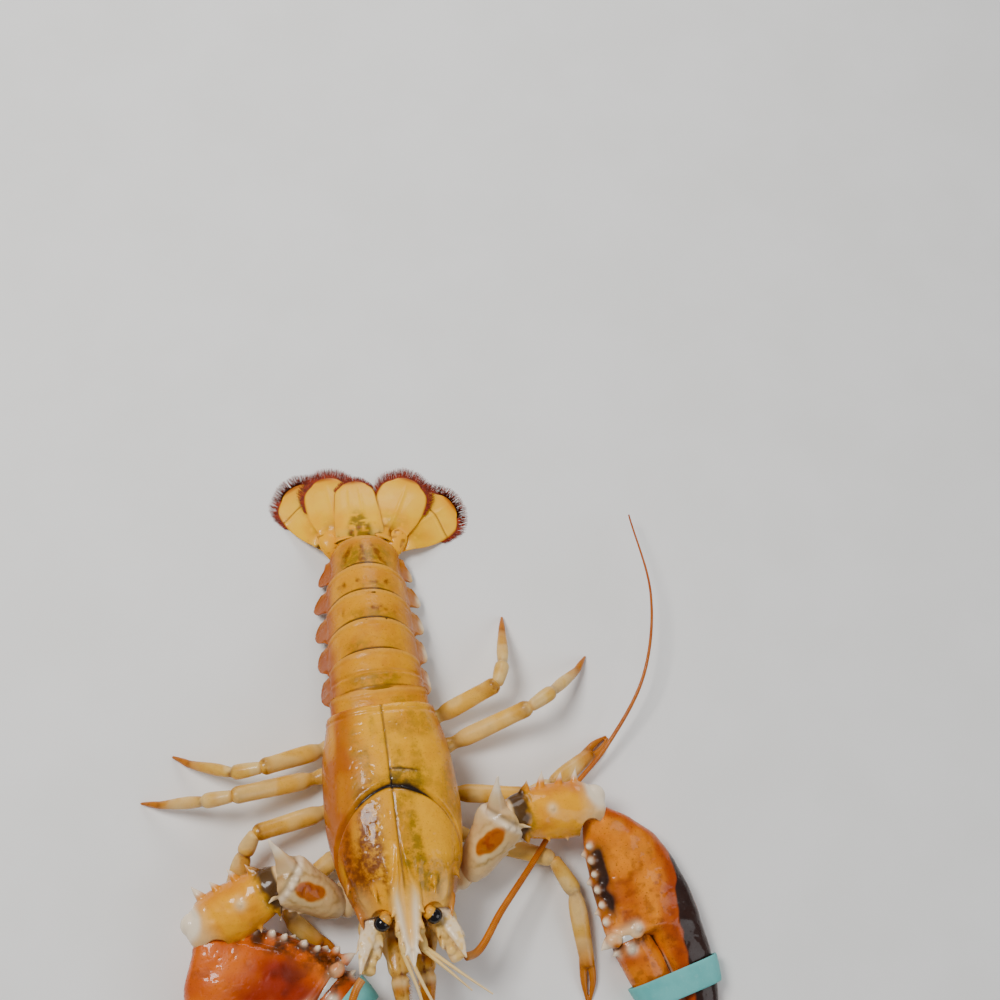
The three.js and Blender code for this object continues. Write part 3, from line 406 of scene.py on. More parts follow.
class Surface:
    """A Principled material built up in coats of colour."""

    def __init__(self, name, base, roughness, specular, gloss=0.0, gloss_roughness=0.1):
        self.material = bpy.data.materials.new(name)
        self.material.use_nodes = True
        self.tree = self.material.node_tree
        self.shader = self.tree.nodes["Principled BSDF"]
        self.place = self.new("TexCoord").outputs["Object"]
        self.normal = None
        self.shader.inputs["Base Color"].default_value = self.color = (*base, 1)
        self.shader.inputs["Roughness"].default_value = roughness
        self.shader.inputs["Specular IOR Level"].default_value = specular
        self.shader.inputs["Coat Weight"].default_value = gloss
        self.shader.inputs["Coat Roughness"].default_value = gloss_roughness

    def new(self, kind, **values):
        node = self.tree.nodes.new(f"ShaderNode{kind}")
        for key, value in values.items():
            node.inputs[key.replace("_", " ")].default_value = value
        return node

    def link(self, a, b):
        self.tree.links.new(a, b)

    def mask(self, name):
        node = self.new("Attribute")
        node.attribute_name = name
        return node.outputs["Fac"]

    def noise(self, size, detail=3.0, low=0.0, high=1.0, roughness=0.55):
        """Noise with features of about size millimetres, stretched between low and high."""
        node = self.new("TexNoise", Scale=1000 / size, Detail=detail, Roughness=roughness)
        self.link(self.place, node.inputs["Vector"])
        spread = self.new("MapRange", From_Min=low, From_Max=high)
        spread.interpolation_type = "SMOOTHSTEP"
        self.link(node.outputs["Fac"], spread.inputs["Value"])
        return spread.outputs["Result"]

    def times(self, a, b):
        node = self.new("Math")
        node.operation = "MULTIPLY"
        node.use_clamp = True
        self.link(a, node.inputs[0])
        if isinstance(b, float):
            node.inputs[1].default_value = b
        else:
            self.link(b, node.inputs[1])
        return node.outputs[0]

    def coat(self, factor, color):
        """Lays a colour over what is there, as far as the factor says."""
        node = self.new("Mix")
        node.data_type = "RGBA"
        self.link(factor, node.inputs["Factor"])
        below, above = node.inputs[6], node.inputs[7]
        if isinstance(self.color, tuple):
            below.default_value = self.color
        else:
            self.link(self.color, below)
        above.default_value = (*color, 1)
        self.color = node.outputs[2]

    def roughen(self, factor, a, b):
        node = self.new("MapRange", To_Min=a, To_Max=b)
        self.link(factor, node.inputs["Value"])
        self.link(node.outputs["Result"], self.shader.inputs["Roughness"])

    def bump(self, height, millimetres, strength):
        node = self.new("Bump", Distance=millimetres / 1000, Strength=strength)
        self.link(height, node.inputs["Height"])
        if self.normal is not None:
            self.link(self.normal, node.inputs["Normal"])
        self.normal = node.outputs["Normal"]

    def done(self):
        self.link(self.color, self.shader.inputs["Base Color"])
        if self.normal is not None:
            self.link(self.normal, self.shader.inputs["Normal"])
        return self.material


RED = (0.26, 0.012, 0.0)
OLIVE = (0.3, 0.155, 0.0)
BROWN = (0.16, 0.035, 0.0)
BLACK = (0.012, 0.006, 0.005)
CREAM = (0.8, 0.5, 0.14)
WHITE = (0.88, 0.72, 0.52)


def shell_material(name, base, deep, pale, gloss, blotch, speck):
    s = Surface(name, base, 0.3, 0.18, gloss, 0.06)
    s.coat(s.times(s.noise(10, 5, 0.38, 0.68, 0.6), blotch), deep)
    s.coat(s.mask("warm"), deep)
    s.coat(s.times(s.mask("olive"), s.noise(4, 5, 0.3, 0.62, 0.65)), OLIVE)
    s.coat(s.times(s.mask("brown"), s.noise(3.2, 5, 0.3, 0.6, 0.65)), BROWN)
    s.coat(s.times(s.noise(1.0, 2, 0.6, 0.72), speck), BROWN)
    for key, color in (("red", RED), ("pale", pale), ("white", WHITE), ("dark", BLACK)):
        s.coat(s.mask(key), color)
    s.bump(s.noise(0.9, 2, 0.35, 0.75), 0.05, 0.5)
    s.bump(s.noise(4, 3), 0.12, 0.4)
    s.roughen(s.noise(6, 3, 0.35, 0.65), 0.26, 0.45)
    return s.done()


def fan_material():
    s = Surface("fan", (0.95, 0.44, 0.0), 0.3, 0.15, 0.15, 0.08)
    s.coat(s.noise(8, 4, 0.35, 0.7), (0.97, 0.5, 0.0))
    s.coat(s.times(s.mask("warm"), 0.8), (0.8, 0.27, 0.0))
    s.coat(s.times(s.mask("olive"), s.noise(3, 4, 0.2, 0.5)), (0.3, 0.16, 0.0))
    s.coat(s.mask("pale"), (0.98, 0.6, 0.06))
    s.coat(s.mask("red"), (0.3, 0.04, 0.003))
    s.coat(s.mask("brown"), (0.25, 0.07, 0.004))
    s.coat(s.mask("dark"), (0.035, 0.012, 0.008))
    s.bump(s.noise(0.8, 2, 0.35, 0.75), 0.04, 0.4)
    s.roughen(s.noise(5, 3, 0.35, 0.65), 0.26, 0.45)
    return s.done()


def band_material():
    s = Surface("band", (0.15, 0.52, 0.5), 0.55, 0.2)
    s.coat(s.noise(14, 3, 0.35, 0.7), (0.11, 0.43, 0.42))
    s.coat(s.times(s.noise(2, 3, 0.55, 0.75), 0.3), (0.3, 0.6, 0.58))
    s.bump(s.noise(0.5, 2), 0.03, 0.5)
    s.bump(s.noise(5, 2), 0.1, 0.3)
    s.roughen(s.noise(4, 3, 0.3, 0.7), 0.45, 0.65)
    return s.done()


def hair_material(name, base, specular, size, streak):
    s = Surface(name, base, 0.5, specular)
    s.coat(s.noise(size, 3, 0.4, 0.6), streak)
    return s.done()


def eye_material():
    s = Surface("cornea", (0.004, 0.003, 0.004), 0.08, 0.5)
    s.coat(s.times(s.noise(2.4, 3, 0.5, 0.75), 0.4), (0.02, 0.01, 0.005))
    return s.done()


# Base, deep and pale colour, gloss, blotches and specks of each part's shell
SHELLS = {
    "shell": ((0.86, 0.39, 0.0), (0.44, 0.105, 0.0), CREAM, 0.33, 0.25, 0.35),
    "tail": ((0.74, 0.3, 0.0), (0.42, 0.095, 0.0), CREAM, 0.05, 0.35, 0.35),
    "limb": ((0.8, 0.43, 0.05), (0.46, 0.19, 0.01), (0.88, 0.6, 0.2), 0.25, 0.5, 0.25),
    "merus": ((0.7, 0.4, 0.09), (0.44, 0.1, 0.0), (0.74, 0.56, 0.3), 0.3, 0.4, 0.3),
    "carpus": ((0.9, 0.38, 0.0), (0.62, 0.16, 0.0), (0.86, 0.66, 0.36), 0.4, 0.4, 0.2),
    "crusher": ((0.76, 0.16, 0.0), (0.5, 0.06, 0.0), (0.78, 0.55, 0.3), 0.4, 0.45, 0.35),
    "cutter": ((0.86, 0.25, 0.0), (0.46, 0.07, 0.0), (0.84, 0.62, 0.34), 0.4, 0.45, 0.6),
    "membrane": ((0.42, 0.4, 0.36), (0.3, 0.2, 0.12), (0.6, 0.62, 0.6), 0.4, 0.4, 0.2),
    "leg": ((0.72, 0.42, 0.07), (0.5, 0.15, 0.0), (0.84, 0.6, 0.26), 0.25, 0.45, 0.3),
    "feeler": ((0.56, 0.16, 0.0), (0.4, 0.075, 0.0), (0.75, 0.42, 0.15), 0.2, 0.5, 0.3),
}
skin = {name: shell_material(name, *row) for name, row in SHELLS.items()}
skin["fan"] = fan_material()
skin["band"] = band_material()
skin["fringe"] = hair_material("fringe", (0.3, 0.03, 0.006), 0.2, 2.5, (0.16, 0.02, 0.008))
skin["bristle"] = hair_material("bristle", (0.5, 0.28, 0.08), 0.3, 2, (0.24, 0.1, 0.03))
skin["cornea"] = eye_material()

# Carapace. Rows of the shell are: ahead, half width, top, margin.
# Rows of the rostrum are: ahead, half width, top, thickness.

SHELL = [
    [0, 26.4, 0, -32], [5, 27.72, 0.9, -33.5], [20, 31.02, 2.9, -35.5], [45, 33, 4.4, -37],
    [62, 32.01, 3.9, -36.5], [78, 28.71, 1.9, -34], [90, 24.42, -0.9, -30.5], [98, 21.12, -3.2, -28],
]  # fmt: skip
ROSTRUM = [
    [68, 2.2, 3.1, 3], [80, 4, 2.5, 4], [91, 7, 0, 5], [99, 6.1, -1.7, 5.2],
    [107, 4.6, -2.6, 4.4], [115, 2.8, -3.1, 3], [123, 0.5, -3.6, 0.9],
]  # fmt: skip
HEAD_END = 98.0
GROOVE = 95 * 0.43
ARCH, ARCH_POWER = 126.0, 0.84
ARCH_DEPTH = 1 - bulge(math.cos(math.radians(ARCH)), ARCH_POWER)


def on_shell(ahead, degrees, lift=0.0):
    ahead, degrees = np.broadcast_arrays(np.asarray(ahead, float), np.asarray(degrees, float))
    half, top, margin = np.moveaxis(profile(SHELL, ahead), -1, 0)
    angle = np.radians(np.abs(degrees))
    x = np.sign(degrees) * (half + lift) * np.abs(np.sin(angle)) ** ARCH_POWER
    fall = (top - margin) / ARCH_DEPTH * (1 - bulge(np.cos(angle), ARCH_POWER))
    return on_thorax(ahead, x, top + lift * np.cos(angle) - fall)


def groove_sweep(degrees):
    return 39 * np.minimum(np.abs(degrees) / 90, 1) ** 1.42


def groove_offsets(ahead, degrees):
    """How far ahead of the cervical groove, and of the finer arc behind it, a place is."""
    sweep = groove_sweep(degrees)
    return ahead - (GROOVE + sweep), ahead - GROOVE + 8 - 0.5 * sweep


def swept_ahead(station, degrees):
    share = np.where(station < GROOVE, station / GROOVE, (HEAD_END - station) / (HEAD_END - GROOVE))
    rake = 9 * np.maximum(0, (np.abs(degrees) - 70) / 56) * (station / HEAD_END) ** 3
    return station + share * groove_sweep(degrees) - rake


def shell_parts():
    degrees = np.linspace(-ARCH, ARCH, 150)
    share = np.linspace(0.97, -0.97, 24)
    rise = np.interp(np.abs(share), [0, 0.84, 1], [8, 2.5, 0])
    rings = []
    for station in np.linspace(0, HEAD_END, 120):
        edge = on_shell(swept_ahead(station, ARCH), ARCH)
        under = edge * p(0, 1, 1) + np.outer(share * edge[0], LEFT) + np.outer(rise, BACK)
        rings.append(np.vstack([on_shell(swept_ahead(station, degrees), degrees), under]))
    parts = [closed(rings)]

    top = np.linspace(1, -1, 17)
    lift = np.interp(np.abs(top), [0, 0.22, 0.45, 0.62, 0.8, 1], [-1.7, -1.3, 0.1, 0.7, 0.2, -1])
    low_turn = np.radians(np.linspace(190, 350, 12))
    rings = []
    for ahead in np.linspace(ROSTRUM[0][0], ROSTRUM[-1][0], 60):
        half, rise, thick = profile(ROSTRUM, ahead)
        x = np.concatenate([top * half, np.cos(low_turn) * half * 0.95])
        u = np.concatenate([rise + lift * min(1, thick / 3), rise - 1 + np.sin(low_turn) * (thick - 1)])
        rings.append(on_thorax(ahead, x, u))
    parts.append(closed(rings))

    for _, side in SIDES:
        for ahead in (98, 104.5, 110.5, 116):
            half, rise, _ = profile(ROSTRUM, ahead)
            ends = (ahead - 2, half - 1.2, rise - 1.2), (ahead + 2.6, half + 1.5, rise + 1)
            parts += thorax_spines(side, [(*ends, 1.35)])
        for ahead, degrees, tip, radius in (
            (84, 30, (94, 13.2, 1.2), 1.8),
            (92, 74, (103.5, 20.5, -11), 1.9),
            (80, 62, (88, 27, -8), 1.5),
        ):
            root = on_shell(ahead, side * degrees, -1)
            parts.append(spine(root, on_thorax(tip[0], side * tip[1], tip[2]), radius))
    return parts


def eye_place(side):
    return on_thorax(101.4, side * 12, -6)


# Rows of the antenna's base are: ahead, aside, up, half width
PEDUNCLE = [
    [94, 14.5, -18, 6.6], [104, 16.6, -18, 6.8], [107, 17.3, -18, 4.9],
    [113, 18.6, -18.2, 5], [114.5, 19.2, -18.2, 3.7], [120, 21.2, -18, 3.8],
]  # fmt: skip

# Joints are: hip, elbow, wrist and palm
ARMS = {
    "left": {
        "joints": [p(15, -71, 12.5), p(33, -84, 20), p(53, -60, 34), p(100, -60, 21)],
        "heading": p(0.215, -0.977, 0),
        "tilt": -4,
        "length": 134,
        "thickness": 0.82,
        "band": 0.665,
    },
    "right": {
        "joints": [p(-15, -71, 12.5), p(-30, -90, 20), p(-54, -74, 34), p(-97, -92, 22)],
        "heading": p(0.682, -0.731, 0),
        "tilt": 4,
        "length": 140,
        "thickness": 1,
        "band": 0.53,
    },
}


def thorax_place(verts):
    """How far ahead of the rear edge, aside and up each vertex is, and its angle down from the mid line."""
    q = verts - p(0, 0, REAR_HEIGHT)
    ahead, x, rise = q @ NOSE, verts[:, 0], q @ BACK
    half, top, margin = profile(SHELL, ahead).T
    c = bulge(1 - (top - rise) / ((top - margin) / ARCH_DEPTH), 1 / ARCH_POWER)
    s = np.minimum(np.abs(x) / half, 1.2) ** (1 / ARCH_POWER)
    return ahead, x, rise, np.degrees(np.arctan2(s, c))


def carapace():
    verts, faces = fuse(shell_parts(), 0.55, 5)
    for name, side in SIDES:
        eye = eye_place(side)
        carve(verts, eye + p(side * 0.5, 0, 1), eye + p(side * 0.5, -2, 1), 6.1)
        base, knuckle = (on_thorax(ahead, side * x, rise) for ahead, x, rise, _ in PEDUNCLE[:2])
        carve(verts, base, knuckle, 7.0)
        carve(verts, *ARMS[name]["joints"][:2], 7.2)
    ahead, x, rise, angle = thorax_place(verts)
    off, behind = groove_offsets(ahead, angle)
    fade = smooth(angle, 104, 88) * (rise > -30)
    upper = smooth(rise, -34, -20) * smooth(ahead, 96, 92)
    arc = smooth(x, -3, 2) * smooth(x, 17, 10) * (rise > -12)
    # The grooves, the mid line, the rear rim, the lower margin and the ridges of the head
    lift = -1.5 * bell(off, 1.5) * fade + 0.3 * bell(off + 3, 2.2) * fade - 0.4 * bell(behind, 1.2) * arc
    lift += -0.4 * bell(x, 0.5) * smooth(ahead, 100, 90) * (rise > -8)
    lift += 0.35 * smooth(ahead, 3.2, 2.2) * upper - 0.3 * bell(ahead - 3.6, 0.7) * upper
    lift += (0.3 * smooth(angle, 112, 118) - 0.3 * bell(angle - 110, 2.5)) * smooth(ahead, 96, 88)
    ridge_at = mix(7.6, 6.0, smooth(ahead, 72, 92))
    lift += 0.7 * bell(np.abs(x) - ridge_at, 1.5) * smooth(ahead, 70, 82) * (rise > -6)
    lift += 0.8 * bell(angle - 50, 5) * smooth(ahead, 78, 92) * upper
    # Pits, dents and the grain of the head's sides
    lift -= 0.16 * smooth(cell_noise(verts, 1.5, 3), 0.72, 0.86) * upper
    lift += 0.3 * (cell_noise(verts, 11, 4) - 0.5) * upper
    grain = smooth(ahead, 50, 95) * smooth(angle, 30, 60)
    lift += 0.22 * smooth(cell_noise(verts, 1.4, 5), 0.68, 0.85) * grain
    verts, faces = relief((verts, faces), lift)

    ahead, x, rise, angle = thorax_place(verts)
    off, behind = groove_offsets(ahead, angle)
    aside, left = np.abs(x), smooth(x, -2, 3)
    right = 1 - left
    gastric = smooth(off, 1, 6) * smooth(ahead, 96, 84)
    patch, streak = cell_noise(verts, 14, 6), cell_noise(verts * p(1, 0.4, 1), 5, 7)
    wash = cell_noise(verts * p(1, 0.32, 1), 8, 8)
    beak = smooth(ahead, 84, 97) * smooth(aside, 9, 6.5)
    ridge = bell(aside - 0.58 * profile(ROSTRUM, ahead)[:, 0], 1.6) * smooth(ahead, 80, 96)
    smears = gastric * right * smooth(wash + 0.35 * (streak - 0.5), 0.36, 0.58)
    piece(
        "carapace",
        (verts, faces),
        "shell",
        skin["shell"],
        warm=0.95 * smooth(angle, 45, 90) * (1 - 0.6 * left)
        + 0.7 * smooth(angle, 80, 110) * left
        + 0.9 * right * smooth(angle, 8, 40) * smooth(wash, 0.2, 0.6)
        + 0.6 * left * smooth(angle, 46, 66) * smooth(wash, 0.35, 0.65)
        + 0.3 * smooth(patch, 0.5, 0.8),
        olive=gastric * left * smooth(aside, 22, 12) * smooth(streak, 0.3, 0.6)
        + 0.5 * smooth(patch, 0.5, 0.75) * left
        + 0.9 * arc * smooth(behind, -2, 1) * smooth(off, 2, -1)
        + 0.6 * (off < 0) * smooth(angle, 50, 20) * smooth(streak, 0.4, 0.7),
        brown=np.minimum(
            1.1 * smears * smooth(angle, 4, 16) * smooth(angle, 84, 60)
            + 0.7 * right * bell(off + 4, 4) * bell(angle - 22, 14) * smooth(streak, 0.3, 0.6)
            + 0.5 * left * bell(angle - 60, 9) * smooth(ahead, 60, 75) * smooth(streak, 0.45, 0.65),
            0.95,
        ),
        pale=0.5 * beak + 0.75 * ridge + 0.45 * smooth(ahead, 80, 92) * bell(angle - 50, 16),
        white=0.75 * ridge * smooth(ahead, 84, 100) + 0.6 * smooth(ahead, 108, 120) * smooth(aside, 8, 4),
        dark=0.95 * bell(off - 0.8 * arc, 1.0 + 1.1 * arc * bell(x - 9, 6)) * fade * smooth(angle, 38, 22)
        + 0.4 * bell(off, 1.0) * fade * smooth(angle, 100, 40)
        + 0.75 * bell(x, 0.6) * smooth(ahead, 92, 84) * (rise > -8)
        + 0.8 * bell(behind, 0.7) * arc * smooth(streak, 0.2, 0.5)
        + 0.5 * bell(off + 2.5, 2.5) * arc * smooth(streak, 0.4, 0.7),
        red=0.45 * smooth(angle, 96, 122) * (ahead < 90) * (1 - 0.4 * left),
    )


carapace()

# Abdomen. Rows of the segments are: length, slope in degrees, half width, height.

SEGMENTS = [
    [8, 6, 25, 24], [18.5, 10, 28, 30], [17.5, 13, 28.2, 30],
    [17, 16, 28.2, 29], [16.5, 19, 28, 27.5], [19, 22, 25.6, 24.5],
]  # fmt: skip
YAW_STEP = -0.7
# How deep the side plates reach along a segment, and how far they flare, part and slope on each segment
PLEURA = [[0, 0.62], [0.12, 0.68], [0.3, 0.88], [0.5, 0.99], [0.7, 1], [0.84, 0.95], [0.94, 0.82], [1, 0.68]]
LAST_PLEURA = [*PLEURA[:2], [0.28, 0.9], [0.42, 0.95], [0.58, 0.9], [0.74, 0.76], [0.9, 0.69], [1, 0.66]]
LOBES = [0, 4.6, 5.4, 6.0, 6.6, 7.0]
NOTCHES = [1, 0.7, 0.75, 0.85, 1, 1]
SLOPES = [0, 0.6, 1, 1, 1, 1]
# The side plates start at this share of the height, below an arch that turns by so many radians
HINGE, ARCH_TURN = 0.58, 1.2


class Frame:
    """A frame that runs back along the dorsal line."""

    def __init__(self, origin, slope, yaw):
        slope, yaw = math.radians(slope), math.radians(yaw)
        self.origin = origin
        self.run = p(-math.sin(yaw) * math.cos(slope), math.cos(yaw) * math.cos(slope), -math.sin(slope))
        self.side = p(math.cos(yaw), math.sin(yaw), 0)
        self.rise = np.cross(self.side, self.run)

    def at(self, onward, x, rise):
        onward, x, rise = (np.asarray(v, float)[..., None] for v in np.broadcast_arrays(onward, x, rise))
        return self.origin + onward * self.run + x * self.side + rise * self.rise

    def place(self, verts):
        q = verts - self.origin
        return q @ self.run, q @ self.side, q @ self.rise


def tergite(half, height, depth, tuck, inset, flare, slope):
    """Across and up for one ring of a segment, from the mid line down the left side, round and back.

    The third list says how far round each point is: 0 on the mid line, 1 at the hinge, 2 under the belly."""
    turn = np.linspace(0, 1, 46)
    quarter = turn * math.pi / 2
    w = half - tuck - inset
    x = w * mix(np.sin(quarter) ** 0.94, np.sin(turn * ARCH_TURN) / math.sin(ARCH_TURN), slope)
    steep, even = 1 - np.cos(quarter) ** 0.95, (1 - np.cos(turn * ARCH_TURN)) / (1 - math.cos(ARCH_TURN))
    u = -tuck - inset - HINGE * height * mix(steep, even, slope)
    drop = depth - HINGE
    low = [
        (x[-1], -u[-1] / height, 1),
        (w + 0.3 * flare, HINGE + 0.3 * drop, 1.1),
        (w + 0.68 * flare, HINGE + 0.65 * drop, 1.2),
        (w + flare - 0.1, depth - 0.035, 1.3),
        (w + flare - 0.7, depth, 1.35),
        (w + flare - 1.5, depth - 0.03, 1.4),
        (w + 0.4 * flare - 2.4, 0.6 + 0.5 * drop, 1.5),
        (w - 2.8, 0.66, 1.6),
        (w * 0.78, 0.69, 1.7),
        (w * 0.45, 0.72, 1.8),
        (w * 0.16, 0.725, 2),
    ]
    rows = profile([[k, a, -b * height, c] for k, (a, b, c) in enumerate(low)], np.linspace(0, 10, 44))
    lists = (np.concatenate([a, rows[1:, k]]) for k, a in enumerate((x, u, turn)))
    return tuple(np.concatenate([a, sign * a[:0:-1]]) for a, sign in zip(lists, (-1, 1, 1)))


def rear_arc(turn):
    """How far the rear edge stands back at each place round a segment."""
    return 2.6 - 5.4 * np.minimum(turn, 1) ** 2.2


def swimmeret(place, side, half, height, length):
    def limb(rows):
        return [
            (place.at(length * onward, side * half * spread, -height * 0.7 - down), wide, thick)
            for onward, spread, down, wide, thick in rows
        ]

    stem = [(0.25, 0.5, -1.5, 2.4, 1.6), (0.36, 0.5, 3, 2, 1.4)]
    paddle = [
        (0.3, 0.5, 2.2, 2.6, 1.1), (0.6, 0.5, 4.6, 4.2, 0.9),
        (0.8, 0.49, 5.2, 3.4, 0.7), (0.94, 0.48, 5.4, 1.6, 0.4),
    ]  # fmt: skip
    return [tube(limb(stem), place.run, 16), tube(limb(paddle), place.rise, 24)]


def segment(i, place):
    length, _, half, height = SEGMENTS[i]
    lobe, slope, first = LOBES[i], SLOPES[i], i == 0
    width = half - lobe + 0.2 * (not first)
    end = length - 0.3

    def edge(share, tuck, inset=0.0, pull=0.0):
        table = PLEURA if i < 5 else LAST_PLEURA
        depth = 0.72 if first else 1 - NOTCHES[i] * (1 - float(profile(table, share)[0]))
        flare = lobe * max(0.0, (depth - HINGE) / (1 - HINGE)) ** 0.8
        x, u, turn = tergite(width, height, depth, tuck, inset, flare, slope)
        onward = share * end - pull
        if first:
            onward = onward + (0.9 - 0.9 * np.minimum(turn, 1) ** 2) * smooth(share, 0.45, 1)
        else:
            onward = onward + (rear_arc(turn) - 0.6 * smooth(turn, 1, 1.3) + 0.3) * smooth(share, 0.45, 1)
            onward -= 4.6 * smooth(turn, 1.15, 0.95) * (1 - share) ** 3
        return place.at(onward, x, u)

    rings = [
        edge(share, 0.6 if first else 1.5 * (1 - smooth(share, 0.02, 0.2)) ** 0.7)
        for share in np.concatenate([np.linspace(0, 0.3, 22), np.linspace(0.3, 1, 36)[1:]])
    ]
    rings += [edge(1, 0, inset, pull) for inset, pull in ((0.25, -0.12), (0.9, 0.05), (1.6, 0.7))]
    verts, faces = closed(rings)

    onward, across, rise = place.place(verts)
    side, down, share = np.abs(across) / width, -rise / height, onward / length
    fallen = np.clip(-(rise + 0.3) / (HINGE * height), 0, 1)
    even = np.arccos(1 - fallen * (1 - math.cos(ARCH_TURN))) / ARCH_TURN
    round_by = mix(np.arccos(1 - fallen) / (math.pi / 2), even, slope)
    rear = onward - end - rear_arc(round_by) * (not first)
    outer = smooth(down, 0.72, 0.66) if first else (rise > -0.98 * height) * (side > 0.35)
    outer = np.where(rise > -0.56 * height, 1.0, outer)
    lift = 0.15 * bell(rear + 1.2, 0.9) - 0.12 * bell(rear + 3, 0.9)
    if i == 1:
        lift -= 0.7 * bell(share - 0.5, 0.05) * smooth(side, 1.0, 0.85) - 0.3 * bell(share - 0.4, 0.05)
    lift -= 0.4 * bell(down - 0.56, 0.05) * smooth(share, 0.2, 0.5)
    lift -= 0.12 * smooth(cell_noise(verts, 1.4, 10 + i), 0.7, 0.85)
    lift += 0.25 * (cell_noise(verts, 9, 20 + i) - 0.5)
    verts, faces = relief((verts, faces), lift * outer)

    flank = smooth(down + 0.12 * (cell_noise(verts, 8, 44 + i) - 0.5), 0.22, 0.5)
    left = smooth(across, -4, 6)
    tip = smooth(down + 0.08 * (cell_noise(verts, 5, 50 + i) - 0.5), 0.72, 0.93) * left
    patch, fine = cell_noise(verts, 10, 30 + i), cell_noise(verts, 2.4, 36 + i)
    covered = rear_arc(round_by) if i > 1 else 1.0 - 0.9 * np.minimum(round_by, 1) ** 2
    spots = bell(share - 0.5, 0.12) * smooth(fine, 0.5, 0.75) * smooth(side, 0.85, 0.5)
    rays = smooth(np.cos(np.arctan2(across + 1.5, 26 - onward) * 13) + 0.8 * (fine - 0.5), 0.1, 0.8)
    rays = rays * smooth(side, 0.8, 0.45) * smooth(share, 0.12, 0.3) * smooth(share, 0.95, 0.7)
    shadow = smooth(onward - covered, 1.7, 0.7) * (down < 0.72) * (not first)
    out = masks(
        verts,
        warm=flank * (1 - 0.3 * left) + 0.25 * smooth(patch, 0.5, 0.8),
        red=0.25 * smooth(down, 0.4, 0.7) * (1 - left) * smooth(patch, 0.3, 0.7),
        pale=0.14 * bell(rear + 0.6, 1.4) + tip * 0.9,
        white=0.9 * tip * smooth(share, 0.3, 0.6),
        brown=0.9 * spots * (i in (3, 4)) + 0.85 * rays * (i == 5),
        olive=0.75 * smooth(side, 0.95, 0.3) * smooth(patch, 0.2, 0.7) * smooth(share, 0.75, 0.3)
        + 0.7 * (i == 5) * smooth(side, 0.95, 0.5) * smooth(share, 1, 0.7),
        dark=(0.5 if i == 1 else 0.8) * shadow,
    )
    under = np.maximum(out["pale"], 0.55 * smooth(side, 0.9, 0.6))
    out["pale"] = np.where(down > 0.69, under, out["pale"])
    parts = [(verts, faces)]
    if 0 < i < 5:
        for _, s in SIDES:
            parts += swimmeret(place, s, half, height, length)
    part = join(parts)
    more = len(part[0]) - len(verts)
    for key in out:
        out[key] = np.append(out[key], np.full(more, 0.8 if key == "pale" else 0.0))
    name = f"abdomen_{i + 1}"
    build(name, part, name, skin["tail"], out)


def abdomen():
    """Builds the segments and gives the frame that their end leaves."""
    origin = p(0, 0.3, REAR_HEIGHT - 0.52)
    for i, (length, slope, _, _) in enumerate(SEGMENTS):
        place = Frame(origin, slope, YAW_STEP * i)
        segment(i, place)
        origin = place.at(length, 0, 0)
    return Frame(origin, 0, YAW_STEP * len(SEGMENTS))


TAIL = abdomen()

# Tail fan. Rows of a blade are: share of its length, share of its half width, half thickness.

FAN_REACH = 39.0
BLADE = [
    [0, 0.5, 1.5], [0.12, 0.66, 1.3], [0.35, 0.88, 1], [0.6, 1, 0.8],
    [0.8, 0.95, 0.65], [0.93, 0.7, 0.5], [1, 0.36, 0.35],
]  # fmt: skip
TELSON = [[0, 0.94, 2.2], [0.12, 1, 2.1], [0.4, 0.96, 1.6], [0.7, 0.9, 1.1], [0.9, 0.78, 0.8], [1, 0.5, 0.5]]
SPREAD = {"left": (23, 56), "right": (12, 32)}


def fan_drop(onward, x):
    """How far the fan has sunk towards the floor at a place behind the last segment."""
    reach = np.hypot(onward, np.maximum(np.abs(x) - 13, 0))
    away = 1 - np.minimum(reach / FAN_REACH, 1.15)
    arch = 0.026 * np.minimum(np.abs(x), 18) ** 2 * smooth(reach, 15, 2)
    return (TAIL.origin[2] - 3.9) * (1 - bulge(away, 1.7)) + arch


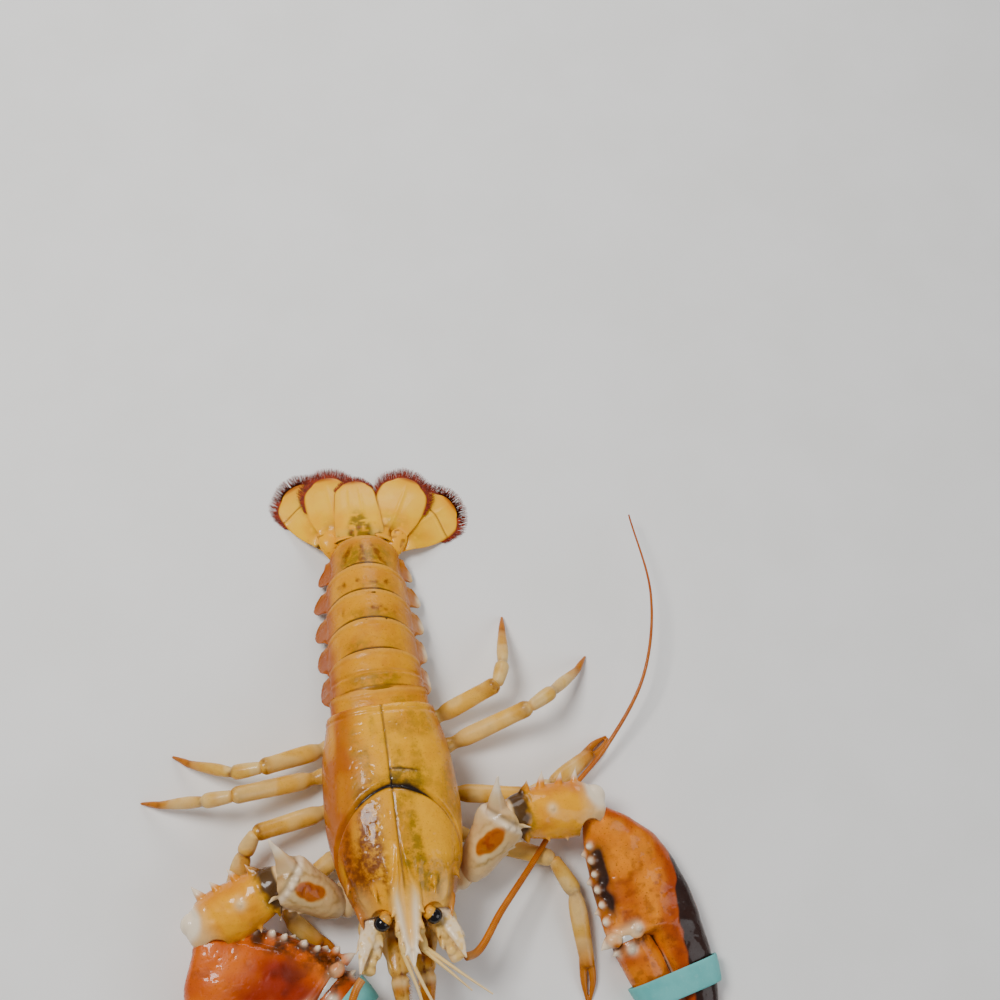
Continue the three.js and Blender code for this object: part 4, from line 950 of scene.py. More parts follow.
class Blade:
    """One blade of the fan: a thin plate along a heading, curved down to the floor."""

    def __init__(self, onward, x, heading, length, half, tier, table=BLADE, ribs=1, hinge=None):
        self.root = (onward, x)
        self.run = (math.sin(math.radians(heading)), math.cos(math.radians(heading)))
        self.length, self.half, self.tier, self.table = length, half, tier, table
        self.ribs, self.hinge, self.telson = ribs, hinge, table is TELSON

    def width(self, share):
        w = profile(self.table, np.minimum(share, 0.93))[..., 0]
        end = np.clip((share - 0.8) / 0.215, 0, 1)
        return w * self.half * np.sqrt(np.maximum(1 - end**2.4, 0.0004))

    def at(self, share, across, lift):
        share, across, lift = np.broadcast_arrays(share, across, lift)
        (onward, x), (aside, ahead) = self.root, self.run
        onward = onward + ahead * share * self.length - aside * across
        x = x + aside * share * self.length + ahead * across
        return TAIL.at(onward, x, lift - self.tier - fan_drop(onward, x))

    def surface(self):
        """The skin, with ribs that fan out from the root, and each vertex's share and place across."""
        sides, rim = 140, 0.3
        across = np.cos(np.linspace(0, 2 * math.pi, sides, endpoint=False))
        upper = np.arange(sides) < sides // 2
        dome = np.sqrt(np.maximum(1 - across**2, 0)) ** 0.8
        body = dome * np.where(upper, 1, -0.45 if self.telson else -0.6)
        rib = 0
        for at in np.arange(1, self.ribs + 1) / (self.ribs + 1) * 2 - 1:
            rib = rib + bell(across - at * 0.8, 0.07) * (1 - 0.35 * abs(at))
        rib = rib * np.where(upper, 1, -0.4) * (0.4 if self.telson else 0.5)
        rings = []
        shares = np.linspace(-0.1 if self.telson else 0, 1.01, 90)
        for share in shares:
            lift = float(profile(self.table, share)[1]) * body
            lift += rib * smooth(share, 0.04, 0.2) * smooth(share, 1.0, 0.7)
            if self.telson:
                lift -= 5.8 * smooth(share, 0.2, -0.03)
            if self.hinge:
                off = share - self.hinge - 0.03 * np.cos(across * 3)
                lift += np.where(upper, 0.45, -0.225) * (bell(off + 0.02, 0.018) - bell(off - 0.012, 0.014))
            verts = self.at(share, across * float(self.width(share)), lift)
            verts[:, 2] = np.maximum(verts[:, 2], FLOOR_GAP + rim * dome * upper)
            rings.append(verts)
        verts, faces = closed(rings)
        share = np.append(np.repeat(shares, sides), [0, 1])
        return verts, faces, share, np.append(np.tile(across, len(shares)), [0, 0])

    def fringe(self, start, seed, reach):
        """Fine dark hairs along the rear edge, evenly spaced round its outline."""
        rng = np.random.default_rng(seed)
        tip = 1.0153
        shares = tip - (tip - start) * np.linspace(1, 0, 400) ** 2
        half = np.stack([shares * self.length, self.width(shares)], 1)
        outline = np.vstack([half, half[::-1] * [1, -1]])
        run = run_of(outline)
        tangent = unit(np.gradient(outline, run + np.arange(len(run)) * 1e-9, axis=0))
        verts, faces = [], []
        for at in np.arange(0, run[-1], 0.085):
            at += rng.uniform(-0.05, 0.05)
            edge, way = (np.array([np.interp(at, run, v[:, k]) for k in (0, 1)]) for v in (outline, tangent))
            out = np.array([way[1], -way[0]])
            if out[1] * edge[1] < 0 and abs(edge[1]) > 1:
                out = -out
            out[0] = abs(out[0])
            grow = 0.45 + 0.55 * float(smooth(edge[0] / self.length, start, start + 0.35))
            out = unit(unit(out) * 0.8 + np.array([0.6, 0]))
            lean = rng.normal(0, 0.1)
            out = np.array([out[0] - lean * out[1], out[1] + lean * out[0]])
            sideways = np.array([-out[1], out[0]])
            length, wide = reach * grow * rng.uniform(0.8, 1.08), rng.uniform(0.1, 0.16)
            droop = rng.normal(0, 0.35)
            base = len(verts)
            for t in (0, 0.35, 0.7, 1):
                for k in (-1, 1):
                    q = edge + out * (length * t - 0.6) + sideways * k * wide * (1 - 0.8 * t)
                    verts.append((q[0] / self.length, q[1], droop * t))
            faces += [[base + k, base + k + 1, base + k + 3, base + k + 2] for k in (0, 2, 4)]
        return self.at(*np.array(verts).T), faces


def stem(side):
    """The stout root that carries the two blades of a side."""
    rows = ((-5, 13.6, -14, 4.4, 3.4), (-1, 16, -11.6, 5.6, 3.2), (4, 18.6, -11, 5.6, 3), (8, 21, -13, 3.4, 2))
    root = [(TAIL.at(onward, side * x, rise), wide, thick) for onward, x, rise, wide, thick in rows]
    thorn = spine(TAIL.at(5.6, side * 22, -11.6), TAIL.at(10, side * 26.5, -14.6), 1.7)
    return fuse([tube(root, sides=32), thorn], 0.45, 3)


def fan():
    plan = [("telson", 0, Blade(0.7, -1.4, -4, 37, 12.8, -1.5, TELSON, 2))]
    for name, side in SIDES:
        inner, outer = SPREAD[name]
        blade = Blade(1.2, side * 12.0, side * (inner - 2), 40.4, 13.8, 1.1)
        plan.append((f"uropod_inner_{name}", side, blade))
        outer = Blade(2.2, side * 15.3, side * outer, 41, 14.8, 3.7, hinge=0.68)
        plan.append((f"uropod_outer_{name}", side, outer))
    for k, (name, side, b) in enumerate(plan):
        verts, faces, share, across = b.surface()
        patch, fine = cell_noise(verts, 6, 50 + k), cell_noise(verts, 2.2, 56 + k)
        aside = np.abs(across)
        # The dark red lines along each blade's side edges are painted shadow where the blades overlap; the dark
        # red at the rear end is the blades' own colour
        rim = np.maximum(smooth(share, 0.95, 1.0), bell(aside - 1, 0.05) * smooth(share, 0.3, 0.6))
        root = smooth(share, 0.32, 0.1)
        if b.telson:
            olive = 1.6 * smooth(aside, 0.85 - share, 0.4 - share) * smooth(share, 0.62, 0.3)
        else:
            olive = 0.35 * smooth(aside, 0.85, 0.35) * bell(share - 0.26, 0.16)
        out = masks(
            verts,
            warm=root * 0.6 + 0.35 * smooth(patch, 0.5, 0.8) + 0.5 * smooth(share, 0.86, 0.98),
            olive=olive * smooth(fine, 0.1, 0.4),
            pale=0.3 * smooth(share, 0.4, 0.6) * smooth(share, 0.95, 0.8) * (1 - rim)
            + 0.6 * bell(share - 0.12, 0.07) * smooth(aside, 0.35, 0.6),
            red=0.8 * rim * smooth(share, 0.4, 0.7),
            brown=0.9 * bell(share - 0.15, 0.06) * smooth(fine, 0.4, 0.65) * smooth(aside, 0.5, 0.3)
            + 0.5 * smooth(fine, 0.78, 0.9) * root,
            dark=0.9 * bell(share - 0.07, 0.04) * smooth(fine, 0.55, 0.72) * smooth(aside, 0.2, 0.5),
        )
        if b.hinge:
            seam = bell(share - b.hinge - 0.012 - 0.03 * np.cos(across * 3), 0.01)
            out["brown"] = np.maximum(out["brown"], 0.9 * seam)
            root_part = stem(side)
            verts, faces = join([(verts, faces), root_part])
            extra = root_part[0]
            stained = 0.7 * smooth(cell_noise(extra, 2, 41), 0.7, 0.85)
            more = masks(extra, warm=0.3 + 0.4 * cell_noise(extra, 4, 40), brown=stained)
            out = {key: np.append(out[key], more[key]) for key in out}
        build(name, (verts, faces), name, skin["fan"], out)
        hair = b.fringe(0.86, 60 + k, 5.5) if b.telson else b.fringe(0.55, 60 + k, 6.5)
        build(f"{name}_fringe", hair, None, skin["fringe"], shade=False)


fan()

# Arms and claws. Rows of a hand or finger are: share of the length, inner edge, outer edge, half thickness.

CRUSHER_HAND = [
    [0, 8, -9, 8.5], [0.05, 13, -23, 11], [0.12, 19.5, -33.5, 13.4], [0.2, 25, -38.5, 14.8],
    [0.3, 30, -39.6, 15], [0.41, 33, -38, 14.6], [0.42, 0, -38, 14.4], [0.56, -2.6, -35, 12.2],
    [0.7, -4.5, -29.5, 10.2], [0.84, -6.5, -22, 7.8], [0.95, -6, -13.5, 4.6], [1, -2.2, -4.6, 1.6],
]  # fmt: skip
CRUSHER_FINGER = [
    [0.427, 31.4, 3, 12.6], [0.5, 31, 1.6, 12.2], [0.6, 28, -0.2, 11], [0.72, 22.6, -2, 9.4],
    [0.84, 14.6, -4, 7], [0.93, 6.6, -3.6, 4.4], [0.975, 1.8, -1.4, 1.8],
]  # fmt: skip
CUTTER_HAND = [
    [0, 7, -7, 9], [0.05, 9.5, -15.5, 11], [0.14, 12, -25.5, 12.6], [0.25, 14.5, -30.5, 13.8],
    [0.36, 16, -32.4, 13.6], [0.44, 16.4, -32.4, 13], [0.45, -7, -32.4, 12.8], [0.6, -9, -31, 10.6],
    [0.75, -10, -27, 8.6], [0.88, -10.6, -20.5, 6.2], [0.96, -9.4, -14.6, 3.8], [1, -6.4, -8.6, 1.4],
]  # fmt: skip
CUTTER_FINGER = [
    [0.457, 15.8, -4.2, 10.8], [0.54, 14.8, -5.6, 10], [0.66, 11.6, -6.8, 8.8], [0.78, 6.8, -7.6, 7],
    [0.88, 1, -7.8, 5], [0.95, -4, -7.2, 3], [0.985, -5.6, -6.9, 1.2],
]  # fmt: skip
# How far a hand's underside is off the floor: share of the length, height
CLEARANCE = [[0, 13], [0.1, 6.5], [0.22, 2], [0.36, 0.7], [0.6, 0.9], [0.85, 0.5], [1, 1.2]]


class Hand:
    """The frame of one claw: share of its length, across towards the inner side, and up."""

    def __init__(self, name, side):
        arm = ARMS[name]
        self.crusher = name == "right"
        self.table = CRUSHER_HAND if self.crusher else CUTTER_HAND
        self.finger = CRUSHER_FINGER if self.crusher else CUTTER_FINGER
        self.length, self.thickness, self.band = arm["length"], arm["thickness"], arm["band"]
        self.run = unit(arm["heading"])
        level = np.cross(self.run, UP * side)
        tilt = math.radians(arm["tilt"])
        self.inner = level * math.cos(tilt) + np.cross(self.run, level) * math.sin(tilt)
        rise = np.cross(self.inner, self.run)
        self.rise = rise if rise[2] > 0 else -rise
        self.start = (arm["joints"][3] + self.run * 4) * p(1, 1, 0)

    def axis(self, share):
        share = np.clip(share, 0, 1)
        return profile(self.table, share)[..., 2] * self.thickness + profile(CLEARANCE, share)[..., 0]

    def at(self, share, across, lift):
        given = np.broadcast_arrays(share, across, lift)
        share, across, lift = (np.asarray(v, float)[..., None] for v in given)
        level = self.start + share * self.length * self.run + across * self.inner
        return level + lift * self.rise + self.axis(share[..., 0])[..., None] * UP

    def place(self, verts):
        q = verts - self.start
        share = q @ self.run / self.length
        q = q - self.axis(share)[:, None] * UP
        return share, q @ self.inner, q @ self.rise

    def section(self, share, row, sides):
        inner, outer, thick = row
        centre = self.at(share, (inner + outer) / 2, 0)
        return ring(centre, self.inner, self.rise, abs(inner - outer) / 2, thick * self.thickness, sides, 0.88)

    def solid(self, table):
        """The skin of a palm or finger; soft is how far, in millimetres, its steps are rounded."""
        sides, step, soft = 120, 0.6, 1.6
        rows = np.array(table, float)
        shares = np.linspace(rows[0, 0], rows[-1, 0], int((rows[-1, 0] - rows[0, 0]) * self.length / step))
        values = np.stack([np.interp(shares, rows[:, 0], rows[:, k]) for k in (1, 2, 3)], 1)
        reach = int(3 * soft / step)
        kernel = np.exp(-0.5 * (np.arange(-reach, reach + 1) * step / soft) ** 2)
        padded = np.pad(values, ((reach, reach), (0, 0)), "reflect", reflect_type="odd")
        values = np.stack([np.convolve(padded[:, k], kernel / kernel.sum(), "valid") for k in range(3)], 1)
        values[:, 2] = np.maximum(values[:, 2], 0.6)
        rings = [self.section(t, v, sides) for t, v in zip(shares, values)]

        def dome(k, sign):
            centre = rings[k].mean(0)
            size = min(2.2, values[k, 2] * self.thickness * 0.8)
            return [
                centre + (rings[k] - centre) * max(math.cos(t), 0.03) + self.run * sign * size * math.sin(t)
                for t in np.radians([20, 40, 60, 78, 88])
            ]

        return closed(dome(0, -1)[::-1] + rings + dome(-1, 1))


def limb(a, b, rows, **options):
    """A tube from a to b, from rows of: share, half width, half thickness."""
    return tube([(mix(a, b, share), wide, thick) for share, wide, thick in rows], **options)


def arm(name, side):
    hip, elbow, wrist, palm = ARMS[name]["joints"]
    front = beside(unit(palm - wrist), side)
    ischium(name, side, hip, elbow)
    merus(name, side, elbow, wrist, -front)
    carpus(name, wrist, palm, front)
    claw(name, Hand(name, side))


def beside(line, side):
    """The level direction square to a line, towards the inner or front side of the arm."""
    return unit(p(line[1] * side, -line[0] * side, 0))


def ischium(name, side, hip, elbow):
    inside = beside(elbow - hip, side)
    parts = [limb(hip, elbow, ((0, 6.4, 5.4), (0.35, 6, 5.2), (0.8, 8, 6.6), (1, 7.4, 6.2)), sides=48)]
    for k, share in enumerate((0.36, 0.47, 0.58, 0.69, 0.8, 0.92)):
        root = mix(hip, elbow, share) + inside * (4.2 + k * 0.2)
        parts.append(spine(root, root + inside * (5 + k % 2) + UP * 0.4, 1.7 + 0.2 * (k % 2)))
    verts, faces = fuse(parts, 0.5, 3)
    verts, faces = relief((verts, faces), 0.4 * (cell_noise(verts, 4, 60) - 0.5))
    t = along(verts, hip, elbow)
    patch = cell_noise(verts, 5, 61)
    piece(
        f"claw_ischium_{name}",
        (verts, faces),
        "pale",
        skin["merus"],
        pale=0.5 + 0.4 * patch,
        white=0.8 * smooth((verts - mix(hip, elbow, 0.6)) @ inside, 5, 9),
        warm=0.8 * bell(t - 0.6, 0.14) * smooth(verts[:, 2], 19, 25) * smooth(patch, 0.3, 0.6),
        brown=0.6 * bell(t - 0.1, 0.15) + 0.5 * smooth(patch, 0.65, 0.8),
    )


def merus(name, side, elbow, wrist, rear):
    reach = unit(wrist - elbow)
    before = beside(reach, side)
    rows = ((0.04, 6.2, 6.4), (0.2, 8.6, 8.2), (0.6, 10.6, 9.6), (0.92, 12.6, 10.6), (1.06, 10.4, 9.4))
    parts = [limb(elbow, wrist, rows, sides=60)]
    # The great spine at the far upper corner, the rim of the wrist and the spines of the front edge
    crown = mix(elbow, wrist, 0.84) + UP * 3
    tip = crown + UP * 15 + rear * 20 + reach * 2
    great = [
        (mix(crown, tip, t) - reach * 1.6 * math.sin(t * math.pi), 7.4 * w, 4.8 * w)
        for t, w in ((0, 1.15), (0.3, 0.84), (0.6, 0.5), (0.85, 0.2), (1, 0.08))
    ]
    parts.append(tube(great, unit(np.cross(tip - crown, reach)), 24, 0.4, (0.4, 0.8)))
    for turn in np.radians(np.arange(-70, 215, 24)):
        out_way = before * math.cos(turn) + np.cross(reach, before) * math.sin(turn)
        parts.append(ball(mix(elbow, wrist, 0.97) + out_way * 9.8, (1.9, 1.9, 1.9), 12))
    for share, root, end, lift in (
        (0.9, 9, 16.5, -3), (0.78, 8.6, 14.6, 0), (0.64, 8.2, 13, 1), (0.5, 7.6, 11.6, 1), (0.97, 6, 14, 7),
    ):  # fmt: skip
        start = mix(elbow, wrist, share) + before * root + UP * lift * 0.5
        parts.append(spine(start, mix(elbow, wrist, share + 0.08) + before * end + UP * lift, 2.3))
    verts, faces = fuse(parts, 0.5, 4)
    t = along(verts, elbow, wrist)
    # The oval patch on top
    q = verts - (mix(elbow, wrist, 0.56) + UP * 9.5)
    skew = q @ before - 0.5 - 0.16 * (q @ reach)
    oval = np.hypot(q @ reach / 9.6, skew / 4.9) + 0.3 * (cell_noise(verts, 3.4, 64) - 0.5)
    level = mix(elbow, wrist, 0.5)[2]
    high = smooth(verts[:, 2], level - 1, level + 4)
    patch, fine = cell_noise(verts, 7, 62), cell_noise(verts, 2, 63)
    verts, faces = relief((verts, faces), 0.7 * (patch - 0.5) + 0.3 * (fine - 0.5))
    far = far_from(verts, tip)
    halo = 0.75 * high * bell(oval - 1.5 - 0.25 * (fine - 0.5), 0.16) * smooth(patch, 0.1, 0.6)
    piece(
        f"claw_merus_{name}",
        (verts, faces),
        "claw",
        skin["merus"],
        pale=(0.35 + 0.5 * patch) * (1 - high * smooth(oval, 1.05, 0.85)) * (1 - 0.8 * halo),
        white=smooth(far, 12, 4)
        + 0.8 * smooth((verts - wrist) @ before, 10, 14)
        + 0.7 * bell(t - 0.99, 0.05) * (far > 12),
        warm=high * smooth(oval, 1.0, 0.75) + 0.8 * bell(far - 15, 5),
        red=0.5 * high * smooth(oval, 0.75, 0.2) * smooth(fine, 0.3, 0.7),
        olive=halo + 0.4 * smooth(patch, 0.5, 0.8),
        brown=0.5 * smooth(oval, 0.8, 0.5) * high * smooth(fine, 0.4, 0.7),
        dark=0.4 * bell(t - 1.06, 0.03) + 0.2 * halo,
    )


def carpus(name, wrist, palm, front):
    outward, rear = unit(palm - wrist), -front
    rows = ((0.02, 8, 7.6), (0.16, 10.6, 9.6), (0.45, 13, 11.2), (0.8, 13.4, 11.4), (1, 10.4, 9.8))
    knuckle = palm + rear * 4.6 + UP * 4.4 + outward * 0.5
    parts = [
        limb(wrist, palm, rows, sides=64),
        ball(mix(wrist, palm, 0.82) + rear * 4.5 + UP * 2.4, (8.6, 8.6, 8.2)),
        ball(knuckle, (5.6, 5.6, 5.4)),
    ]
    for k, (share, length) in enumerate(((0.24, 3.2), (0.42, 6.6), (0.62, 4.6), (0.8, 6))):
        start = mix(wrist, palm, share) + rear * (9.5 + (share > 0.7)) + UP * 4
        end = start + rear * (3.4 + length) + UP * 2.2 + outward * 2.4
        parts.append(spine(start, end, 2.6 - 0.2 * (k % 2)))
    for share in (0.2, 0.42, 0.62):
        start = mix(wrist, palm, share) + front * 9.6 + UP * 2
        parts.append(spine(start, start + front * 6 + outward * 1.6, 2.2))
    pale_bump = mix(wrist, palm, 0.5) + UP * 11.4
    parts.append(knob(pale_bump - UP * 1.6, UP, 2.1, 2.4))
    verts, faces = fuse(parts, 0.5, 5)
    hollow = mix(wrist, palm, 0.92) + front * 13 + UP * 2
    carve(verts, hollow - UP * 8, hollow + UP * 10, 6.4)
    t = along(verts, wrist, palm)
    patch, fine = cell_noise(verts, 9, 70), cell_noise(verts, 3, 71)
    lift = 0.9 * (cell_noise(verts, 12, 72) - 0.5) + 0.5 * (fine - 0.5) - 0.5 * bell(t - 0.22, 0.03)
    verts, faces = relief((verts, faces), lift * smooth(t, 1.0, 0.85))
    rise = verts[:, 2] - mix(wrist[2], palm[2], t)
    rear_off = (verts - mix(wrist, palm, 0.5)) @ rear
    dark_ring = smooth(t + 0.06 * (fine - 0.5), 0.24, 0.16) * smooth(t, 0.02, 0.06)
    piece(
        f"claw_carpus_{name}",
        (verts, faces),
        "claw",
        skin["carpus"],
        warm=0.4 * smooth(patch, 0.5, 0.8) + 0.8 * smooth(rise, 4, -6) + 0.6 * smooth(rear_off, 4, 11),
        dark=0.92 * dark_ring * smooth(rise, -6, -1),
        olive=0.7 * bell(t - 0.22, 0.05) + 0.2 * smooth(patch, 0.6, 0.8),
        white=1.25 * smooth(far_from(verts, knuckle), 10.5, 6.4) + 0.9 * smooth(np.abs(rear_off), 13, 16.5),
        pale=0.7 * bell(t - 0.03, 0.035) + 0.8 * near(verts, pale_bump, 2.6) + 0.5 * smooth(t, 0.7, 0.95),
        brown=np.minimum(near(verts, hollow, 9.5) * 1.3, 0.95),
    )


def crusher_colours(share, from_inner, palm_part, patch, fine):
    edge_band = bell(from_inner - 4.4, 4.6) * palm_part * smooth(share, 0.06, 0.12)
    centre = smooth(share, 0.12, 0.26) * smooth(from_inner, 6, 16)
    gold = smooth(share, 0.25, 0.38) * smooth(from_inner, 22, 8) * palm_part
    return {
        "red": np.minimum(centre * smooth(patch + 0.3 * fine, 0.2, 0.65), 0.92) * (1 - gold),
        "brown": 1.1 * edge_band * smooth(fine, 0.25, 0.5) + 0.3 * smooth(fine, 0.6, 0.8),
        "dark": 0.6 * edge_band * smooth(fine, 0.45, 0.65) + 0.5 * centre * smooth(patch + 0.4 * fine, 0.8, 1),
        "warm": (0.2 + 0.6 * smooth(patch, 0.35, 0.7)) * (1 - 0.8 * gold),
    }


def cutter_colours(verts, share, from_inner, from_outer, palm_part, lift_at, patch, fine):
    depth = mix(0.5, 14.5, smooth(share, 0.16, 0.5)) + 2.2 * (fine - 0.5)
    night = smooth(from_outer, depth + 0.6, depth - 0.8) * smooth(share, 0.12, 0.2)
    night = night * (1 - 0.95 * smooth(from_outer, 1.2, 0.5) * (lift_at > -2))
    edge = bell(from_inner - 4.2 - 3.6 * (fine - 0.5), 3.6) * palm_part
    edge = edge * smooth(share, 0.07, 0.15) * smooth(share, 0.41, 0.3)
    glow = 0.4 * bell(from_outer - depth - 3, 4.0) * smooth(share, 0.14, 0.3)
    specks = smooth(cell_noise(verts, 3, 86), 0.5, 0.75) * smooth(share, 0.08, 0.25)
    return {
        "dark": np.minimum(night + 1.3 * edge, 0.97),
        "brown": 0.5 * specks * smooth(from_inner, 4, 9),
        "warm": 0.9 * smooth(from_outer - 5 * fine, depth + 10, depth) + 0.4 * smooth(patch, 0.45, 0.8),
        "red": np.minimum(glow + 0.4 * smooth(patch + 0.3 * fine, 0.75, 0.95) * smooth(share, 0.12, 0.25), 0.8),
        "olive": 0.5 * smooth(patch, 0.5, 0.8) * smooth(share, 0.3, 0.1),
    }


def claw(name, hand):
    crusher, thickness = hand.crusher, hand.thickness
    shell = skin["crusher" if crusher else "cutter"]
    end = 0.42 if crusher else 0.45
    # The biting edges stand back from the solids' by this much, to make room for the teeth
    close = 1.6 if crusher else 1.2
    first, pitch, count = (0.5, 0.078, 5) if crusher else (0.5, 0.045, 10)

    def teeth(rows, start, total, direction, edge, shift):
        out = []
        for i in range(total):
            share = start + pitch * i
            size = (3.0 if crusher else (1.5, 2.1)[i % 2]) * (1 - 0.5 * i / total)
            root = hand.at(share, profile(rows, share)[edge] + shift - direction * 0.9, 0)
            out.append(knob(root, hand.inner * direction, size, 1.3))
        return out

    def biting(off, ahead, lift_at):
        return bell(off, 1.2) * ahead * smooth(np.abs(lift_at), 4, 2)

    # Hand: its step at the root of the finger is kept steep
    palm_rows = [row for row in hand.table if row[0] < end - 0.005]
    last, after = palm_rows[-1], hand.table[len(palm_rows) :]
    table = [
        *palm_rows[:-1],
        [end - 0.03, *last[1:]],
        [end + 0.004, last[1] - 1, *last[2:]],
        [end + 0.005, after[0][1] + close, *after[0][2:]],
        *([s, a + close * (s < 0.9), b, c] for s, a, b, c in after[1:]),
    ]
    slant = unit(hand.inner * 0.8 + hand.rise * 0.6)
    if crusher:
        knobs = ((0.11, 2.1), (0.165, 2.4), (0.205, 1.8), (0.27, 2.3), (0.315, 1.7), (0.37, 2.2))
    else:
        knobs = ((0.1, 2.0), (0.15, 2.8), (0.2, 2.3), (0.255, 3.0), (0.31, 2.5), (0.37, 2.8))
    parts, tips = [hand.solid(table)], []
    for i, (share, stout) in enumerate(knobs):
        inner, _, thick = profile(hand.table, share)
        upper = hand.at(share, inner - 2.4, thick * thickness * 0.42)
        parts.append(knob(upper, slant, stout, 3.6))
        tips.append(upper + slant * 3.0)
        if i % 2 == 0:
            lower = hand.at(share + 0.02, inner - 1, -1)
            parts.append(knob(lower, hand.inner, 2.1, 3.2))
            tips.append(lower + hand.inner * 2.6)
    inner, _, thick = profile(hand.table, end - 0.04)
    thorn = hand.at(end - 0.012, inner - 3, thick * thickness * 0.35)
    thorn_tip = thorn + hand.inner * 6.4 + hand.run * 2.4 + UP
    button = hand.at(end - 0.02, inner * 0.12, thick * thickness * 0.86)
    knuckles = [hand.at(end - 0.012, inner * a, thick * thickness * 0.62) for a in (0.16, 0.78)]
    parts += [spine(thorn, thorn_tip, 3.0), knob(button, hand.rise, 2.2, 2.6)]
    parts += [ball(k, (4.0, 4.0, 2.6), 20) for k in knuckles]
    parts += teeth(hand.table, first, count, 1, 0, close)
    verts, faces = fuse(parts, 0.6, 4)

    share, across, lift_at = hand.place(verts)
    inner, outer, _ = profile(hand.table, share).T
    top = smooth(lift_at, 0, 5)
    lift = 0.8 * (cell_noise(verts, 14, 80) - 0.5) + 0.35 * (cell_noise(verts, 5, 81) - 0.5)
    lift -= 0.14 * smooth(cell_noise(verts, 1.6, 82), 0.7, 0.85)
    lift -= 0.7 * bell(inner - across - 6.5, 2) * top * smooth(share, 0.42, 0.36)
    lift -= 0.5 * bell(share - end + 0.035, 0.012) * top * (across > 0)
    verts, faces = relief((verts, faces), lift)

    share, across, lift_at = hand.place(verts)
    patch, fine = cell_noise(verts, 15, 83), cell_noise(verts, 5, 84)
    dots = sum(near(verts, q, 2.0) for q in tips)
    from_inner, from_outer = profile(palm_rows, share)[:, 0] - across, across - outer
    palm_part = smooth(share, end + 0.005, end - 0.01)
    joint = smooth(share, end - (0.05 if crusher else 0.07), end - 0.01) * smooth(share, end + 0.02, end)
    joint = joint * smooth(across, -2, 4) * smooth(fine, 0.1, 0.45)
    if crusher:
        joint = joint * np.clip(sum(near(verts, k, 5.5) for k in knuckles), 0, 1)
        colours = crusher_colours(share, from_inner, palm_part, patch, fine)
    else:
        colours = cutter_colours(verts, share, from_inner, from_outer, palm_part, lift_at, patch, fine)
        colours["brown"] += 0.8 * near(verts, knuckles[1] + hand.run * 4, 4.5)
    out = masks(
        verts,
        pale=0.75 * joint + 0.6 * dots + 0.4 * smooth(share, 0.85, 1.0),
        white=dots * 1.3
        + 0.9 * smooth(far_from(verts, thorn_tip), 8, 3)
        + 0.9 * near(verts, button + hand.rise * 2, 2.4)
        + 0.3 * near(verts, knuckles[0] + hand.rise * 2, 3)
        + 0.8 * biting(across - inner - close - 0.6, share > end + 0.03, lift_at),
        **colours,
    )
    out["dark"] *= 1 - out["white"]
    build(f"claw_hand_{name}", (verts, faces), f"claw_hand_{name}", shell, out)

    # Finger
    start, root_in, root_out, root_thick = hand.finger[0]
    rows = [[start - 0.014, root_in - 4.5, root_out + 3.5, root_thick * 0.7], *hand.finger]
    rows = [[s, a, b - close * (start + 0.01 < s < 0.9), c] for s, a, b, c in rows]
    thorn = hand.at(start + 0.02, root_in - 4, 3)
    bump_tip = thorn + hand.inner * 6.6 + hand.run * 2 + UP
    button = hand.at(start + 0.035, root_in * 0.55, root_thick * thickness * 0.82)
    parts = [hand.solid(rows), spine(thorn, bump_tip, 2.6), knob(button, hand.rise, 2.4, 2.6)]
    parts += teeth(hand.finger, first + pitch / 2, count - 1, -1, 1, -close)
    verts, faces = fuse(parts, 0.55, 4)
    lift = 0.6 * (cell_noise(verts, 10, 90) - 0.5) - 0.12 * smooth(cell_noise(verts, 1.6, 92), 0.7, 0.85)
    verts, faces = relief((verts, faces), lift)
    share, across, lift_at = hand.place(verts)
    outer = profile(hand.finger, share)[:, 1]
    patch, fine = cell_noise(verts, 8, 93), cell_noise(verts, 3, 94)
    base = smooth(share, start + 0.05, start + 0.015)
    piece(
        f"claw_finger_{name}",
        (verts, faces),
        "claw",
        shell,
        warm=0.3 + 0.6 * smooth(patch, 0.4, 0.75),
        brown=0.95 * base + 0.5 * smooth(fine, 0.6, 0.8),
        red=0.5 * smooth(share, 0.5, 0.7) * smooth(patch, 0.3, 0.7),
        dark=0.5 * base * smooth(fine, 0.3, 0.6),
        pale=0.7 * smooth(share, 0.8, 0.98),
        white=1.4 * near(verts, bump_tip - hand.inner, 3)
        + 1.2 * near(verts, button + hand.rise * 2, 2.6)
        + 0.8 * biting(across - outer + close + 0.6, share > start + 0.04, lift_at),
    )

    # Skin of the joint, between palm and finger
    middle, half = (root_in + root_out) / 2, (root_in - root_out) / 2
    rings = []
    for share in np.linspace(end - 0.02, start + 0.03, 7):
        size = 0.8 + 0.1 * math.sin((share - end + 0.02) / (start + 0.05 - end) * math.pi)
        rings.append(hand.section(share, (middle + half * size, middle - half * size, root_thick * size), 60))
    verts, faces = closed(rings)
    out = masks(verts, pale=0.5 + 0.5 * cell_noise(verts, 2.5, 96), brown=0.4 * cell_noise(verts, 1.8, 97))
    build(f"claw_membrane_{name}", (verts, faces), None, skin["membrane"], out)
    band(name, hand)


